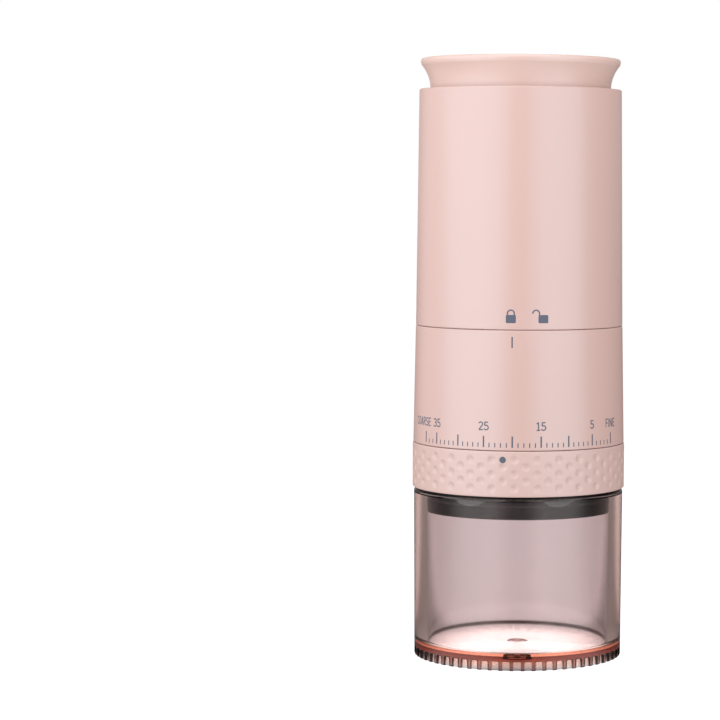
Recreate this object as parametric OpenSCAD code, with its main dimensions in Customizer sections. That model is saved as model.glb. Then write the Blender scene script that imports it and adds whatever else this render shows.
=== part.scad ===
// Portable electric coffee grinder. A clear jar stands under a conical burr mill with an outer
// adjusting ring, and a rechargeable motor host locks onto the mill with a short turn.
// Lengths are in millimetres and angles in degrees. Z is up from the jar's foot, and the printed
// scale faces -Y. An angle round the body is counted from the front, -Y, towards +X.

/* [Body] */
// Radius of the adjusting ring, the widest piece
dial_r = 35; // [34.8:0.1:36]
// Height of the jar
jar_h = 55.2; // [45:0.5:75]
// Height of the adjusting ring
dial_h = 14.6; // [14:0.1:17]
// Height of the mill's outer shell
mid_h = 38.2; // [37:0.1:48]
// Height of the host's outer shell
host_h = 77.1; // [76:0.1:92]
// Height of the flared cap on the host
cap_h = 10; // [9:0.1:12]
// Play between a turning piece and the fixed piece that it turns on
running_fit = 0.08; // [0.04:0.01:0.1]
// Play between two pieces that are put together and stay together
slip_fit = 0.05; // [0.02:0.01:0.08]

/* [Jar] */
// How far the jar's mouth stands in from the adjusting ring
jar_inset = 0.5; // [0.3:0.1:0.7]
// How much the jar's outside narrows from mouth to foot
jar_taper = 0.3; // [0:0.1:0.6]
// Thickness of the jar's wall at the mouth
jar_wall = 4.2; // [4:0.1:4.4]
// How much the jar's inside narrows below the collar
jar_draft = 0.5; // [0:0.1:1]
// Thickness of the jar's floor
jar_floor_t = 5; // [4.4:0.1:7]
// Height of the bevel inside the jar's mouth
jar_bevel = 1.2; // [0.6:0.1:1.6]
// Radius of the jar's outer edges
jar_edge = 0.6; // [0.3:0.1:0.9]
// Number of notches round the foot
notch_count = 60; // [30:1:66]
// Width of a foot notch
notch_w = 2.4; // [1.6:0.1:2.6]
// Height of a foot notch
notch_h = 3.1; // [2:0.1:3.6]
// Depth of a foot notch
notch_depth = 1.3; // [0.8:0.1:1.6]
// Radius of the moulding recess under the foot
gate_r = 3.1; // [2.4:0.1:4]
// Depth of the moulding recess under the foot
gate_depth = 2.2; // [1:0.1:3]
// Radius of the nub in the moulding recess
gate_nub_r = 1.2; // [0.8:0.1:1.6]
// Radial play of the jar on the collar
jar_fit = 0.15; // [0.12:0.01:0.25]
// Gap between the jar's mouth and its stop
jar_seat_gap = 0.05; // [0.03:0.01:0.1]

/* [Jar collar] */
// Depth of the collar inside the jar
collar_drop = 7; // [6.6:0.1:9]
// Thickness of the collar's wall
collar_wall = 2.2; // [1.8:0.1:2.6]
// Radius of the collar's lower edge
collar_edge = 0.8; // [0.5:0.1:1]
// Thickness of the flange that stops the jar
stop_t = 0.6; // [0.5:0.1:1]
// How far the stop flange stands in from the adjusting ring
stop_inset = 1.4; // [1:0.1:1.8]
// Radius of the seal's section
seal_r = 0.8; // [0.6:0.05:0.9]
// How far the seal stands out of its groove
seal_rise = 0.09; // [0.04:0.01:0.11]
// Depth of the seal below the stop flange
seal_drop = 2.6; // [2.2:0.1:3]
// Width of a spider arm under the burrs
spider_arm_w = 3; // [2.4:0.1:4]
// Height of a spider arm under the burrs
spider_arm_h = 3.6; // [3:0.1:4.2]

/* [Adjusting ring] */
// Gap between the ring and the stop flange below it
dial_gap = 0.15; // [0.1:0.01:0.3]
// Seam between the ring and the mill's shell above it
dial_seam = 0.3; // [0.2:0.05:0.5]
// Thickness of the adjusting ring at its bore
dial_wall = 3.5; // [3.3:0.1:3.7]
// Height of a journal
journal_h = 2.2; // [1.8:0.1:2.6]
// Rows of dimples
dimple_rows = 5; // [3:1:5]
// Dimples in a row
dimple_count = 30; // [20:1:32]
// Distance between two rows of dimples
dimple_rise = 2.35; // [2.2:0.05:2.45]
// Radius of a dimple's edge
dimple_r = 1.35; // [1:0.05:1.4]
// Depth of a dimple
dimple_depth = 0.35; // [0.2:0.05:0.45]
// Turn from rest to the fine end of the scale
fine_turn = 67.2; // [40:0.1:70]
// Turn from rest to the coarse end of the scale
coarse_turn = 51.2; // [40:0.1:54]
// Rise of the burr carrier over the whole turn
burr_rise = 1.2; // [0.8:0.1:1.4]
// Turn of the ring from one click to the next
click_turn = 3.1; // [3:0.1:6]
// Clicks on the ring
click_count = 38; // [20:1:38]
// Radius of the detent ball
detent_r = 1.25; // [1:0.05:1.4]

/* [Mill body] */
// How far the shell's lower edge stands in from the adjusting ring
mid_inset = 0.2; // [0.1:0.1:0.4]
// How much the shell narrows towards its upper edge
mid_taper = 0.7; // [0.4:0.1:0.9]
// Thickness of the shell's wall at its upper edge
mid_wall = 2.2; // [2.1:0.1:2.3]
// Thickness of the shell's lower flange
mid_floor_t = 2.1; // [1.8:0.1:3]
// Thickness of the hopper's wall
hopper_wall = 1.6; // [1.2:0.1:1.8]
// Height of the hopper's funnel
funnel_h = 9; // [8:0.1:11]
// Radius of the hopper's throat
throat_r = 17.8; // [17:0.1:18.4]
// Width of an arm of the upper bearing bridge
bridge_arm_w = 3.6; // [3:0.1:5]
// Height of an arm of the upper bearing bridge
bridge_arm_h = 5; // [4:0.1:5.6]
// Radius of the four long screws that hold the mill together
long_screw_r = 1.25; // [1:0.05:1.3]

/* [Burrs] */
// How far the burr carrier stands in from the journals
carrier_inset = 6.8; // [6.7:0.1:7]
// Height of the burr carrier
carrier_h = 14.4; // [13.4:0.1:14.6]
// Outer radius of the ring burr
ring_burr_r = 19.5; // [19.2:0.1:19.7]
// Height of the ring burr
ring_burr_h = 13.6; // [12:0.1:13.8]
// Radius of the cone burr at its foot
cone_burr_r = 15.6; // [15:0.1:15.9]
// Radius of the cone burr at its top
cone_burr_top_r = 8.6; // [8:0.1:9.5]
// Height of the cone burr
cone_burr_h = 16; // [15:0.1:16.6]
// Gap between the two burrs at rest, measured level
burr_gap = 0.8; // [0.7:0.05:1]
// Teeth on each burr
burr_teeth = 24; // [12:1:30]
// Width of the groove between two burr teeth
burr_groove_w = 1.5; // [1:0.1:1.8]
// Depth of the groove between two burr teeth
burr_groove_depth = 0.9; // [0.5:0.1:1.1]
// Lean of the burr teeth
burr_lean = 16; // [8:1:20]
// Radius of the mill shaft
shaft_r = 3; // [2.8:0.05:3.1]

/* [Bearings] */
// Outer radius of a mill bearing
bearing_r = 6; // [5.8:0.1:6.4]
// Height of a mill bearing
bearing_h = 4; // [3.6:0.1:4.4]
// Thickness of a bearing ring
bearing_ring_t = 0.9; // [0.8:0.05:0.95]
// Balls in a bearing
bearing_balls_n = 8; // [6:1:8]

/* [Lock] */
// Seam between the mill's shell and the host
lock_seam = 0.3; // [0.2:0.05:0.5]
// Turn that unlocks the host
unlock_turn = 16.3; // [14:0.1:18]
// How far a bayonet lug stands out of the host's spigot
lug_reach = 1.9; // [1.8:0.1:2.2]
// Thickness of the spigot's wall
spigot_wall = 2; // [1.6:0.1:2.6]
// Depth of the spigot below the host's edge
spigot_drop = 5.8; // [5.6:0.1:6]
// Radial play of the spigot in its neck
spigot_fit = 0.3; // [0.2:0.05:0.35]
// Number of bayonet lugs
lug_count = 3; // [2:1:4]
// Width of a bayonet lug as an angle
lug_turn = 14; // [10:1:16]
// Height of a bayonet lug
lug_h = 1.8; // [1.4:0.1:2]
// Thickness of the ledge over the lugs
ledge_t = 2.5; // [2:0.1:2.6]
// Height of the lock ring's base
lock_ring_h = 1.3; // [1:0.1:1.4]

/* [Host] */
// How far the host's lower edge stands in from the mill's upper edge
host_inset = 0.05; // [0:0.01:0.1]
// How much the host narrows towards its top
host_taper = 0.85; // [0.7:0.05:1]
// Thickness of the host's wall at its top
host_wall = 2; // [1.9:0.05:2.1]
// Thickness of the shoulder at the host's top
shoulder_t = 1.8; // [1.4:0.1:2.2]
// Thickness of the host's floor
host_floor_t = 3; // [2.6:0.1:3.6]
// How far the floor stands up inside the host's lower edge
floor_lift = 0.2; // [0.1:0.05:0.4]

/* [Gearbox] */
// Module of the first, fast gear pair
fast_module = 0.5; // [0.48:0.01:0.5]
// Module of the second gear pair
middle_module = 0.6; // [0.57:0.01:0.6]
// Module of the third, slow gear pair
slow_module = 0.8; // [0.76:0.01:0.82]
// Height of the fast wheel
fast_face = 2.6; // [2:0.1:3]
// Height of the middle wheel
middle_face = 3.4; // [3:0.1:4]
// Height of the slow wheel
slow_face = 5; // [4:0.1:5.6]
// Gap between two layers of gears
layer_gap = 0.6; // [0.4:0.05:0.8]
// Thickness of the gearbox's base and wall
gearbox_wall = 1.4; // [1.2:0.1:1.6]
// Thickness of the gearbox's cover
gearbox_cover_t = 2; // [1.6:0.1:2.4]
// Radius of a gear pin
pin_r = 1; // [0.8:0.05:1.2]
// Backlash of a gear pair
backlash = 0.1; // [0.06:0.01:0.14]

/* [Motor] */
// Distance of the motor from the host's axis
motor_offset = 14; // [13.9:0.1:14.4]
// Radius of the motor's can
motor_r = 14; // [13:0.1:14.4]
// Height of the motor's can
motor_h = 30; // [28:0.5:32]
// Thickness of the motor's can
motor_can_t = 1; // [0.8:0.1:1.2]
// Height of the motor's rear cap
motor_cap_h = 7; // [6:0.1:8]
// Thickness of a motor magnet
magnet_t = 1.7; // [1.4:0.1:2]
// Radius of the rotor
rotor_r = 10.6; // [10:0.1:10.8]
// Radius of the motor shaft
motor_shaft_r = 1.15; // [1:0.05:1.25]

/* [Battery] */
// Radius of a battery cell
cell_r = 9.2; // [8.8:0.1:9.3]
// Height of a battery cell
cell_h = 49.8; // [45:0.1:50]
// Gap between the two cells
cell_gap = 0.5; // [0.3:0.05:0.8]
// Thickness of the plates that hold the cells
cradle_t = 0.9; // [0.7:0.05:1]

/* [Controls] */
// Thickness of the circuit board
board_t = 1.2; // [1:0.1:1.6]
// How far the circuit board stands in from the host's bore
board_inset = 1.2; // [0.8:0.1:1.6]
// Width of the charging socket
port_w = 9; // [8.9:0.05:9.2]
// Height of the charging socket
port_h = 3.2; // [3.1:0.05:3.3]
// Length of the charging socket
port_l = 7.3; // [6.5:0.1:8]
// Width of the push switch
switch_w = 6; // [5.6:0.1:6.6]
// Height of the push switch's case
switch_h = 2.7; // [2.4:0.1:3]
// Radius of the power button
button_r = 9; // [8:0.1:9.4]
// Travel of the power button
button_travel = 0.5; // [0.3:0.05:0.5]
// How far the power button stands out of the dish
button_rise = 0.8; // [0.6:0.1:1]
// Gap round the power button
button_gap = 0.3; // [0.25:0.05:0.4]
// Width of the light ring
light_ring_w = 2; // [1.6:0.1:2.4]

/* [Cap] */
// How far the cap's neck stands in from the host's upper edge
neck_inset = 3.6; // [3.2:0.1:4.2]
// How far the cap's rim stands in from the host's upper edge
rim_inset = 0.4; // [0.2:0.1:1]
// Radius of the cap's flaring side
flare_r = 12; // [11:0.5:14]
// Radius of the cap's lip
lip_r = 0.9; // [0.7:0.05:1]
// Depth of the dish in the cap
dish_depth = 6.2; // [5:0.1:6.6]
// Thickness of the dish's floor
dish_floor_t = 1.8; // [1.6:0.1:2]

/* [Hidden] */

$fn = 72;
// How far a cut runs past the face that it opens
over = 0.5;

// Levels, from the foot up
jar_stop_z = jar_h + jar_seat_gap;
core_z = jar_stop_z + stop_t;
collar_z = jar_stop_z - collar_drop;
dial_z = core_z + dial_gap;
dial_top_z = dial_z + dial_h;
mid_z = dial_top_z + dial_seam;
hopper_z = mid_z + mid_floor_t;
mid_top_z = mid_z + mid_h;
host_z = mid_top_z + lock_seam;
host_top_z = host_z + host_h;
top_z = host_top_z + cap_h;

// Radii of the outside, the jar's inside and the bores of the two shells
jar_r = dial_r - jar_inset;
jar_foot_r = jar_r - jar_taper;
jar_in_r = jar_r - jar_wall;
collar_r = jar_in_r - jar_fit;
mid_r = dial_r - mid_inset;
mid_top_r = mid_r - mid_taper;
mid_bore_r = mid_top_r - mid_wall;
host_r = mid_top_r - host_inset;
host_top_r = host_r - host_taper;
host_bore_r = host_top_r - host_wall;
dial_bore_r = dial_r - dial_wall;
journal_r = dial_bore_r - running_fit;
carrier_r = journal_r - carrier_inset;
sleeve_r = carrier_r + running_fit;
board_r = host_bore_r - board_inset;
neck_r = host_top_r - neck_inset;
rim_r = host_top_r - rim_inset;

// Jar collar and core housing
collar_land = 1;
pillar_half_turn = 22;
screw_pair_turn = 13;
long_screw_angles = [for (side = [0, 180], s = [-1, 1]) side + s * screw_pair_turn];
screw_boss_t = 1.15;
screw_head_share = 1.6;
screw_head_h_share = 1.6;
screw_socket_share = 0.8;
screw_hole_fit = 0.1;
counterbore_gap = 0.2;
sleeve_wall = 2.3;
long_screw_ring_r = sleeve_r + sleeve_wall;
hub_wall = 2.2;
hub_lip_t = 0.9;
hub_lip_w = 1.8;
hub_z = collar_z + collar_land + counterbore_gap;
lower_bearing_z = hub_z + hub_lip_t;
screw_anchor_h = 6;
long_screw_z = hub_z + long_screw_r * screw_head_h_share + counterbore_gap;
long_screw_l = hopper_z + screw_anchor_h - long_screw_z;
ball_ring_r = (bearing_r + shaft_r) / 2;
ball_r = (bearing_r - shaft_r) / 2 - bearing_ring_t / 2;

// Adjusting ring, its keys and the burr carrier
key_w = 6;
key_h = 5;
key_reach = 1.2;
key_seat = 1.8;
key_lift = 5.2;
key_play = 0.4;
key_slot_wall = 2.2;
carrier_lift = 1.2;
carrier_z = core_z + carrier_lift;
rise_per_degree = burr_rise / (fine_turn + coarse_turn);
carrier_down = fine_turn * rise_per_degree;
carrier_up = coarse_turn * rise_per_degree;
key_turn = 2 * asin((key_w / 2 + key_play) / sleeve_r);
key_angle = pillar_half_turn + key_turn / 2 + coarse_turn;
key_z = carrier_z + key_lift;
window_z = key_z - carrier_down - key_play;
window_top_z = key_z + key_h + carrier_up + key_play;
detent_depth = 0.3;
detent_gap = 0.03;
detent_ring_r = (dial_bore_r + dial_r) / 2 - dimple_depth;
detent_spring_h = 3.2;
detent_wire_r = 0.2;
detent_coils = 4;
edge_r = 0.4;

// Hopper, upper bearing bridge, shaft and clutch
hopper_r = mid_bore_r - slip_fit;
hopper_in_r = hopper_r - hopper_wall;
clutch_gap = 0.2;
cup_h = 6.6;
cup_wall = 1.2;
cup_floor_t = 1.8;
cup_r = 8.4;
dog_gap = 0.4;
dog_plate_t = 1.8;
tooth_turn = 50;
tooth_in_r = 4.8;
shaft_stub_h = 2.2;
spigot_z = host_z - spigot_drop;
lug_lift = 0.7;
lock_ring_gap = 0.2;
lug_z = spigot_z + lug_lift;
lock_ring_z = lug_z - lock_ring_gap - lock_ring_h;
hopper_top_z = lock_ring_z - lock_ring_gap;
cup_drop = 10.8;
cup_z = host_z - cup_drop;
dog_z = cup_z + cup_h - dog_gap;
bridge_top_z = cup_z - clutch_gap;
upper_bearing_z = bridge_top_z - bearing_h;
bridge_z = upper_bearing_z - hub_lip_t;
shaft_top_z = cup_z + cup_floor_t + shaft_stub_h - clutch_gap;
shaft_fit = 0.02;
shaft_step_h = 1.4;
burr_foot_z = lower_bearing_z + bearing_h + shaft_step_h;
shaft_step_r = 3.9;
nut_h = 2.4;
nut_r = 4;
nut_thread_r = 2.5;
burr_slope = (cone_burr_r - cone_burr_top_r) / cone_burr_h;
burr_screw_r = 1.2;
burr_screw_l = 8;
burr_screw_ring_r = ring_burr_r + burr_screw_r + screw_boss_t / 2;

// Lock
bayonet_r = mid_bore_r - slip_fit;
bayonet_wall = 0.8;
channel_r = bayonet_r - bayonet_wall;
lug_play = 0.25;
lug_r = channel_r - lug_play;
spigot_r = lug_r - lug_reach;
ledge_top_z = mid_top_z - counterbore_gap;
ledge_z = ledge_top_z - ledge_t;
prong_turn = 3.6;
lug_side_turn = 0.6;
ledge_slot_turn = lug_turn + 2 * lug_side_turn;

// Host floor and gearbox
host_floor_z = host_z + floor_lift;
gearbox_z = host_floor_z + host_floor_t;
gearbox_r = host_bore_r - spigot_fit;
gearbox_in_r = gearbox_r - gearbox_wall;
slow_z = gearbox_z + gearbox_wall + layer_gap;
middle_z = slow_z + slow_face + layer_gap;
fast_z = middle_z + middle_face + layer_gap;
cover_z = fast_z + fast_face + 2 * layer_gap;
motor_z = cover_z + gearbox_cover_t;
pinion_teeth = 12;
fast_teeth = 48;
middle_teeth = 36;
slow_teeth = 30;
pressure_angle = 25;
addendum_share = 0.9;
dedendum_share = 1.15;
flank_steps = 4;
fast_centres = fast_module * (pinion_teeth + fast_teeth) / 2;
middle_centres = middle_module * (pinion_teeth + middle_teeth) / 2;
slow_centres = slow_module * (pinion_teeth + slow_teeth) / 2;
first_gear_angle = 200;
motor_at = [0, motor_offset];
first_at = motor_at + fast_centres * [cos(first_gear_angle), sin(first_gear_angle)];
first_away = norm(first_at);
second_angle = atan2(first_at.y, first_at.x)
    + acos((first_away ^ 2 + slow_centres ^ 2 - middle_centres ^ 2) / (2 * first_away * slow_centres));
second_at = slow_centres * [cos(second_angle), sin(second_angle)];
first_to_second = atan2(second_at.y - first_at.y, second_at.x - first_at.x);
bush_wall = 3;
seal_lip_t = 1.2;
spindle_step = 0.4;
cover_screw_r = 1;
cover_screw_l = 6;
cover_screw_angles = [25, -35, -95];
floor_screw_angles = [0, 120, 240];
cover_boss_r = cover_screw_r + screw_boss_t;
cover_screw_ring_r = gearbox_in_r - cover_screw_r;
pin_boss_wall = 1;
floor_screw_ring_r = spigot_r - spigot_wall - cover_screw_r - 2 * screw_boss_t;
floor_screw_z = host_floor_z + cover_screw_r * screw_head_h_share + counterbore_gap / 2;
cover_screw_z = cover_z + gearbox_cover_t / 4;

// Motor, battery and board
motor_screw_r = 1.25;
motor_screw_ring_r = 8;
motor_boss_r = 3;
motor_boss_h = 1.4;
magnet_turn = 130;
magnet_lift = 4;
magnet_h = motor_h - 2 * magnet_lift;
rotor_h = 20;
rotor_lift = 5;
rotor_poles = 5;
rotor_slot_w = 3.4;
rotor_core_r = 5;
winding_fit = 0.15;
commutator_r = 3.6;
commutator_h = 4;
pinion_play = 0.4;
cell_ring_r = host_bore_r - spigot_fit - cell_r;
cell_x = cell_r + cell_gap / 2;
cell_y = -sqrt(cell_ring_r ^ 2 - cell_x ^ 2);
tab_t = 0.2;
tab_w = 8;
cradle_z = motor_z + layer_gap / 2;
cell_z = cradle_z + cradle_t + tab_t;
cell_top_z = cell_z + cell_h;
cradle_rim = 0.15;
board_gap = 0.15;
board_z = cell_top_z + tab_t + cradle_t + board_gap;
board_top_z = board_z + board_t;
port_z = board_z - port_h / 2;
lead_bow = 1.2;
port_wall = 0.3;
port_tongue_t = 0.7;
port_slot_fit = 0.25;
lead_r = 0.7;
lead_sides = 8;
lead_steps = 10;
led_w = 1.6;
led_h = 0.7;

// Cap, switch and button
dish_z = top_z - dish_depth;
dish_under_z = dish_z - dish_floor_t;
shoulder_z = host_top_z - shoulder_t;
cap_spigot_r = neck_r - 2 * shoulder_t;
cap_wall = 2.2;
lip_low_turn = 20;
lip_high_turn = 100;
button_flange_t = 0.8;
button_flange_w = 1.2;
over_button_gap = 0.05;
button_z = dish_under_z - button_flange_t - over_button_gap;
plunger_r = 1.7;
plunger_fit = 0.1;
board_screw_r = 1;
board_screw_l = 5;
board_screw_head_t = 0.8;
board_screw_ring_r = cap_spigot_r - cap_wall - board_screw_r / 2;
board_screw_angles = [-20, 55, 125, 200];
button_crown = 0.5;

// Shared shapes

// A tube from z0 to z1
module tube(r_out, r_in, z0, z1) {
    translate([0, 0, z0]) difference() {
        cylinder(r = r_out, h = z1 - z0);
        translate([0, 0, -over]) cylinder(r = r_in, h = z1 - z0 + 2 * over);
    }
}

// A disc or rod from z0 to z1
module rod(r, z0, z1) {
    translate([0, 0, z0]) cylinder(r = r, h = z1 - z0);
}

// A slice of a tube, centred on an angle from the front
module slice(r_out, r_in, z0, z1, at, wide) {
    rotate([0, 0, at - 90 - wide / 2]) translate([0, 0, z0])
        rotate_extrude(angle = wide) translate([r_in, 0]) square([r_out - r_in, z1 - z0]);
}

// Copies of the children, turned to each angle from +X
module at_angles(angles) {
    for (a = angles) rotate([0, 0, a]) children();
}

// Angles of n copies spaced evenly from start
function even(n, start = 0) = [for (i = [0:n - 1]) start + 360 * i / n];

// A plain round fillet as outline points, from angle a0 to a1
function arc(at, r, a0, a1, n = 8) = [for (i = [0:n]) let (a = a0 + (a1 - a0) * i / n)
    at + r * [cos(a), sin(a)]];

// A screw with its head's underside at the origin and its shank upwards
module screw(r, l, head_share = screw_head_share) {
    head_h = r * screw_head_h_share;
    translate([0, 0, -head_h]) difference() {
        cylinder(r = r * head_share, h = head_h);
        translate([0, 0, -over]) cylinder(r = r * screw_socket_share, h = over + head_h / 2, $fn = 6);
    }
    translate([0, 0, -r / 2]) cylinder(r = r, h = l + r / 2);
}

// Involute of a base circle at a pressure angle, as degrees
function involute(a) = tan(a) * 180 / PI - a;

// Outline of a gear with its first tooth on the +X side
function gear_points(teeth, module_mm) = let (
    pitch_r = module_mm * teeth / 2,
    base_r = pitch_r * cos(pressure_angle),
    tip_r = pitch_r + addendum_share * module_mm,
    root_r = pitch_r - dedendum_share * module_mm,
    start_r = max(base_r, root_r),
    half_turn = 90 / teeth - backlash / 4 / pitch_r * 180 / PI + involute(pressure_angle),
    flank = [for (i = [0:flank_steps]) let (r = start_r + (tip_r - start_r) * i / flank_steps)
        [r, half_turn - involute(acos(base_r / r))]],
    low = [[root_r, flank[0][1]]],
    left = concat(root_r < start_r ? low : [], flank))
    [for (t = [0:teeth - 1], i = [0:2 * len(left) - 1]) let (
        k = i < len(left) ? i : 2 * len(left) - 1 - i,
        p = [left[k][0], i < len(left) ? -left[k][1] : left[k][1]],
        a = p[1] + 360 * t / teeth) p[0] * [cos(a), sin(a)]];

// A gear wheel with a bore
module gear(teeth, module_mm, z0, z1, bore_r, turn = 0) {
    rotate([0, 0, turn]) translate([0, 0, z0]) difference() {
        linear_extrude(height = z1 - z0) polygon(gear_points(teeth, module_mm));
        translate([0, 0, -over]) cylinder(r = bore_r, h = z1 - z0 + 2 * over);
    }
}

// A tube swept along points
function unit(v) = v / norm(v);
function along(path, i) = unit(path[min(i + 1, len(path) - 1)] - path[max(i - 1, 0)]);
function side_of(d) = unit(cross(abs(d.z) > 0.9 ? [1, 0, 0] : [0, 0, 1], d));
module sweep(path, r, sides) {
    rings = [for (i = [0:len(path) - 1]) let (d = along(path, i), u = side_of(d), v = cross(d, u))
        for (s = [0:sides - 1]) path[i] + r * (cos(360 * s / sides) * u + sin(360 * s / sides) * v)];
    last = len(path) - 1;
    walls = [for (i = [0:last - 1], s = [0:sides - 1], half = [0, 1]) let (
        a = i * sides + s, b = i * sides + (s + 1) % sides)
        half == 0 ? [a, a + sides, b] : [b, a + sides, b + sides]];
    foot = [[for (s = [0:sides - 1]) s]];
    head = [[for (s = [0:sides - 1]) last * sides + sides - 1 - s]];
    polyhedron(rings, concat(walls, foot, head));
}

// Jar and collar

module foot_notch() {
    rotate([90, 0, 0]) translate([0, 0, -notch_depth]) linear_extrude(height = notch_depth + over)
        polygon(concat([[-notch_w / 2, -over], [notch_w / 2, -over]],
            arc([0, notch_h - notch_w / 2], notch_w / 2, 0, 180, 6)));
}

module jar() {
    land_z = collar_z - collar_land;
    foot_in_r = jar_in_r - jar_draft;
    color("rosybrown", 0.5) difference() {
        rotate_extrude() polygon(concat(
            [[0, 0]],
            arc([jar_foot_r - jar_edge, jar_edge], jar_edge, -90, 0),
            arc([jar_r - jar_edge, jar_h - jar_edge], jar_edge, 0, 90),
            [[jar_in_r + jar_bevel / 2, jar_h], [jar_in_r, jar_h - jar_bevel], [jar_in_r, land_z]],
            arc([foot_in_r - jar_bevel, jar_floor_t + jar_bevel], jar_bevel, 0, -90),
            [[0, jar_floor_t]]));
        at_angles(even(notch_count)) translate([0, -jar_foot_r, 0]) foot_notch();
        difference() {
            rod(gate_r, -over, gate_depth);
            rod(gate_nub_r, -2 * over, gate_depth + over);
        }
    }
}

module jar_collar() {
    seal_z = jar_stop_z - seal_drop;
    boss_r = long_screw_r * screw_head_share + screw_boss_t / 2;
    bore_r = collar_r - collar_wall;
    inside_r = collar_r + seal_rise - 2 * seal_r - shaft_fit - slip_fit;
    arm_r = bearing_r + hub_wall / 2;
    color("#1d1c1e") difference() {
        union() {
            rotate_extrude() difference() {
                polygon(concat(
                    [[bore_r, collar_z]],
                    arc([collar_r - collar_edge, collar_z + collar_edge], collar_edge, -90, 0),
                    [[collar_r, jar_stop_z], [dial_r - stop_inset, jar_stop_z],
                        [dial_r - stop_inset, core_z], [bore_r, core_z]]));
                translate([collar_r + seal_rise - seal_r, seal_z]) circle(r = seal_r + shaft_fit);
            }
            at_angles(long_screw_angles) translate([long_screw_ring_r, 0]) intersection() {
                rod(boss_r, hub_z, core_z - slip_fit);
                translate([-long_screw_ring_r, 0]) rod(inside_r, hub_z, core_z);
            }
            rod(bearing_r + hub_wall, hub_z, lower_bearing_z + bearing_h);
            at_angles(even(3, 90)) translate([arm_r, -spider_arm_w / 2, hub_z])
                cube([inside_r - arm_r, spider_arm_w, spider_arm_h]);
        }
        rod(bearing_r + slip_fit, lower_bearing_z, core_z + over);
        rod(bearing_r - hub_lip_w, hub_z - over, core_z);
        at_angles(long_screw_angles) translate([long_screw_ring_r, 0]) {
            rod(long_screw_r + screw_hole_fit, collar_z - over, core_z + over);
            rod(long_screw_r * screw_head_share + screw_hole_fit, collar_z - over, long_screw_z);
        }
    }
}

module jar_seal() {
    color("#2b2a2c") rotate_extrude()
        translate([collar_r + seal_rise - seal_r, jar_stop_z - seal_drop]) circle(r = seal_r);
}

// Core housing: the fixed tube that the ring turns on and the carrier slides in

module core_housing() {
    boss_r = long_screw_r + screw_boss_t;
    sweep_turn = 180 - 2 * pillar_half_turn;
    color("#252427") difference() {
        union() {
            rotate_extrude() polygon([
                [sleeve_r - over, core_z], [journal_r, core_z], [journal_r, core_z + journal_h],
                [sleeve_r + sleeve_wall, core_z + journal_h], [sleeve_r + sleeve_wall, mid_z - journal_h],
                [journal_r, mid_z - journal_h], [journal_r, mid_z], [sleeve_r - over, mid_z]]);
            at_angles(long_screw_angles) translate([long_screw_ring_r, 0])
                rod(boss_r, core_z + slip_fit, mid_z - slip_fit);
        }
        for (side = [0, 180])
            slice(journal_r + over, sleeve_r - over, window_z, window_top_z, side, sweep_turn);
        rod(sleeve_r, core_z - over, mid_z + over);
        at_angles(long_screw_angles) translate([long_screw_ring_r, 0])
            rod(long_screw_r + screw_hole_fit, core_z - over, mid_z + over);
    }
}

module long_screws() {
    color("silver") at_angles(long_screw_angles)
        translate([long_screw_ring_r, 0, long_screw_z]) screw(long_screw_r, long_screw_l);
}

// Adjusting ring

module dial_ring() {
    rows_h = (dimple_rows - 1) * dimple_rise;
    dimple_ball_r = (dimple_r ^ 2 + dimple_depth ^ 2) / 2 / dimple_depth;
    color("#e6c3ba") difference() {
        rotate_extrude() polygon(concat(
            [[dial_bore_r, dial_z]],
            arc([dial_r - edge_r, dial_z + edge_r], edge_r, -90, 0, 4),
            arc([dial_r - edge_r, dial_top_z - edge_r], edge_r, 0, 90, 4),
            [[dial_bore_r, dial_top_z]]));
        for (row = [0:dimple_rows - 1])
            at_angles(even(dimple_count, row % 2 * 180 / dimple_count - 90))
                translate([dial_r + dimple_ball_r - dimple_depth, 0,
                    dial_z + (dial_h - rows_h) / 2 + row * dimple_rise])
                    sphere(r = dimple_ball_r, $fn = 48);
        for (side = [0, 180]) rotate([0, 0, side + key_angle]) translate(
            [0, -key_w / 2 - slip_fit, dial_z - over])
            cube([dial_r - key_slot_wall, key_w + 2 * slip_fit,
                key_z + key_h + carrier_up + key_play - dial_z + over]);
        for (i = [0:click_count]) rotate([0, 0, (i - click_count / 2) * click_turn + 90])
            translate([detent_ring_r, 0, dial_top_z + detent_r - detent_depth])
                sphere(r = detent_r, $fn = 24);
    }
}

module detent_ball() {
    color("silver") rotate([0, 0, 90])
        translate([detent_ring_r, 0, dial_top_z + detent_gap + detent_r]) sphere(r = detent_r);
}

module detent_spring() {
    z0 = dial_top_z + detent_gap + 2 * detent_r + detent_wire_r;
    steps = 10;
    n = detent_coils * steps;
    color("silver") rotate([0, 0, 90]) translate([detent_ring_r, 0, z0])
        sweep([for (i = [0:n]) let (a = 360 * i / steps)
            [(detent_r - 2 * detent_wire_r) * cos(a), (detent_r - 2 * detent_wire_r) * sin(a),
                detent_spring_h * i / n]], detent_wire_r, 6);
}

// Burr carrier, burrs and shaft

module burr_carrier() {
    lip_z = carrier_z + ring_burr_h;
    top_z = carrier_z + carrier_h;
    color("#6f6f74") difference() {
        rotate_extrude() polygon([[ring_burr_r + slip_fit, carrier_z], [carrier_r, carrier_z],
            [carrier_r, top_z], [throat_r, lip_z + edge_r], [throat_r, lip_z],
            [ring_burr_r + slip_fit, lip_z]]);
        for (side = [0, 180]) rotate([0, 0, side + key_angle]) translate(
            [carrier_r - key_seat, -key_w / 2 - slip_fit, key_z - slip_fit])
            cube([key_seat + over, key_w + 2 * slip_fit, key_h + 2 * slip_fit]);
        at_angles(even(3, key_angle + 60)) translate([burr_screw_ring_r, 0])
            rod(burr_screw_r + slip_fit, carrier_z - over, carrier_z + burr_screw_l + over);
    }
}

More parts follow.
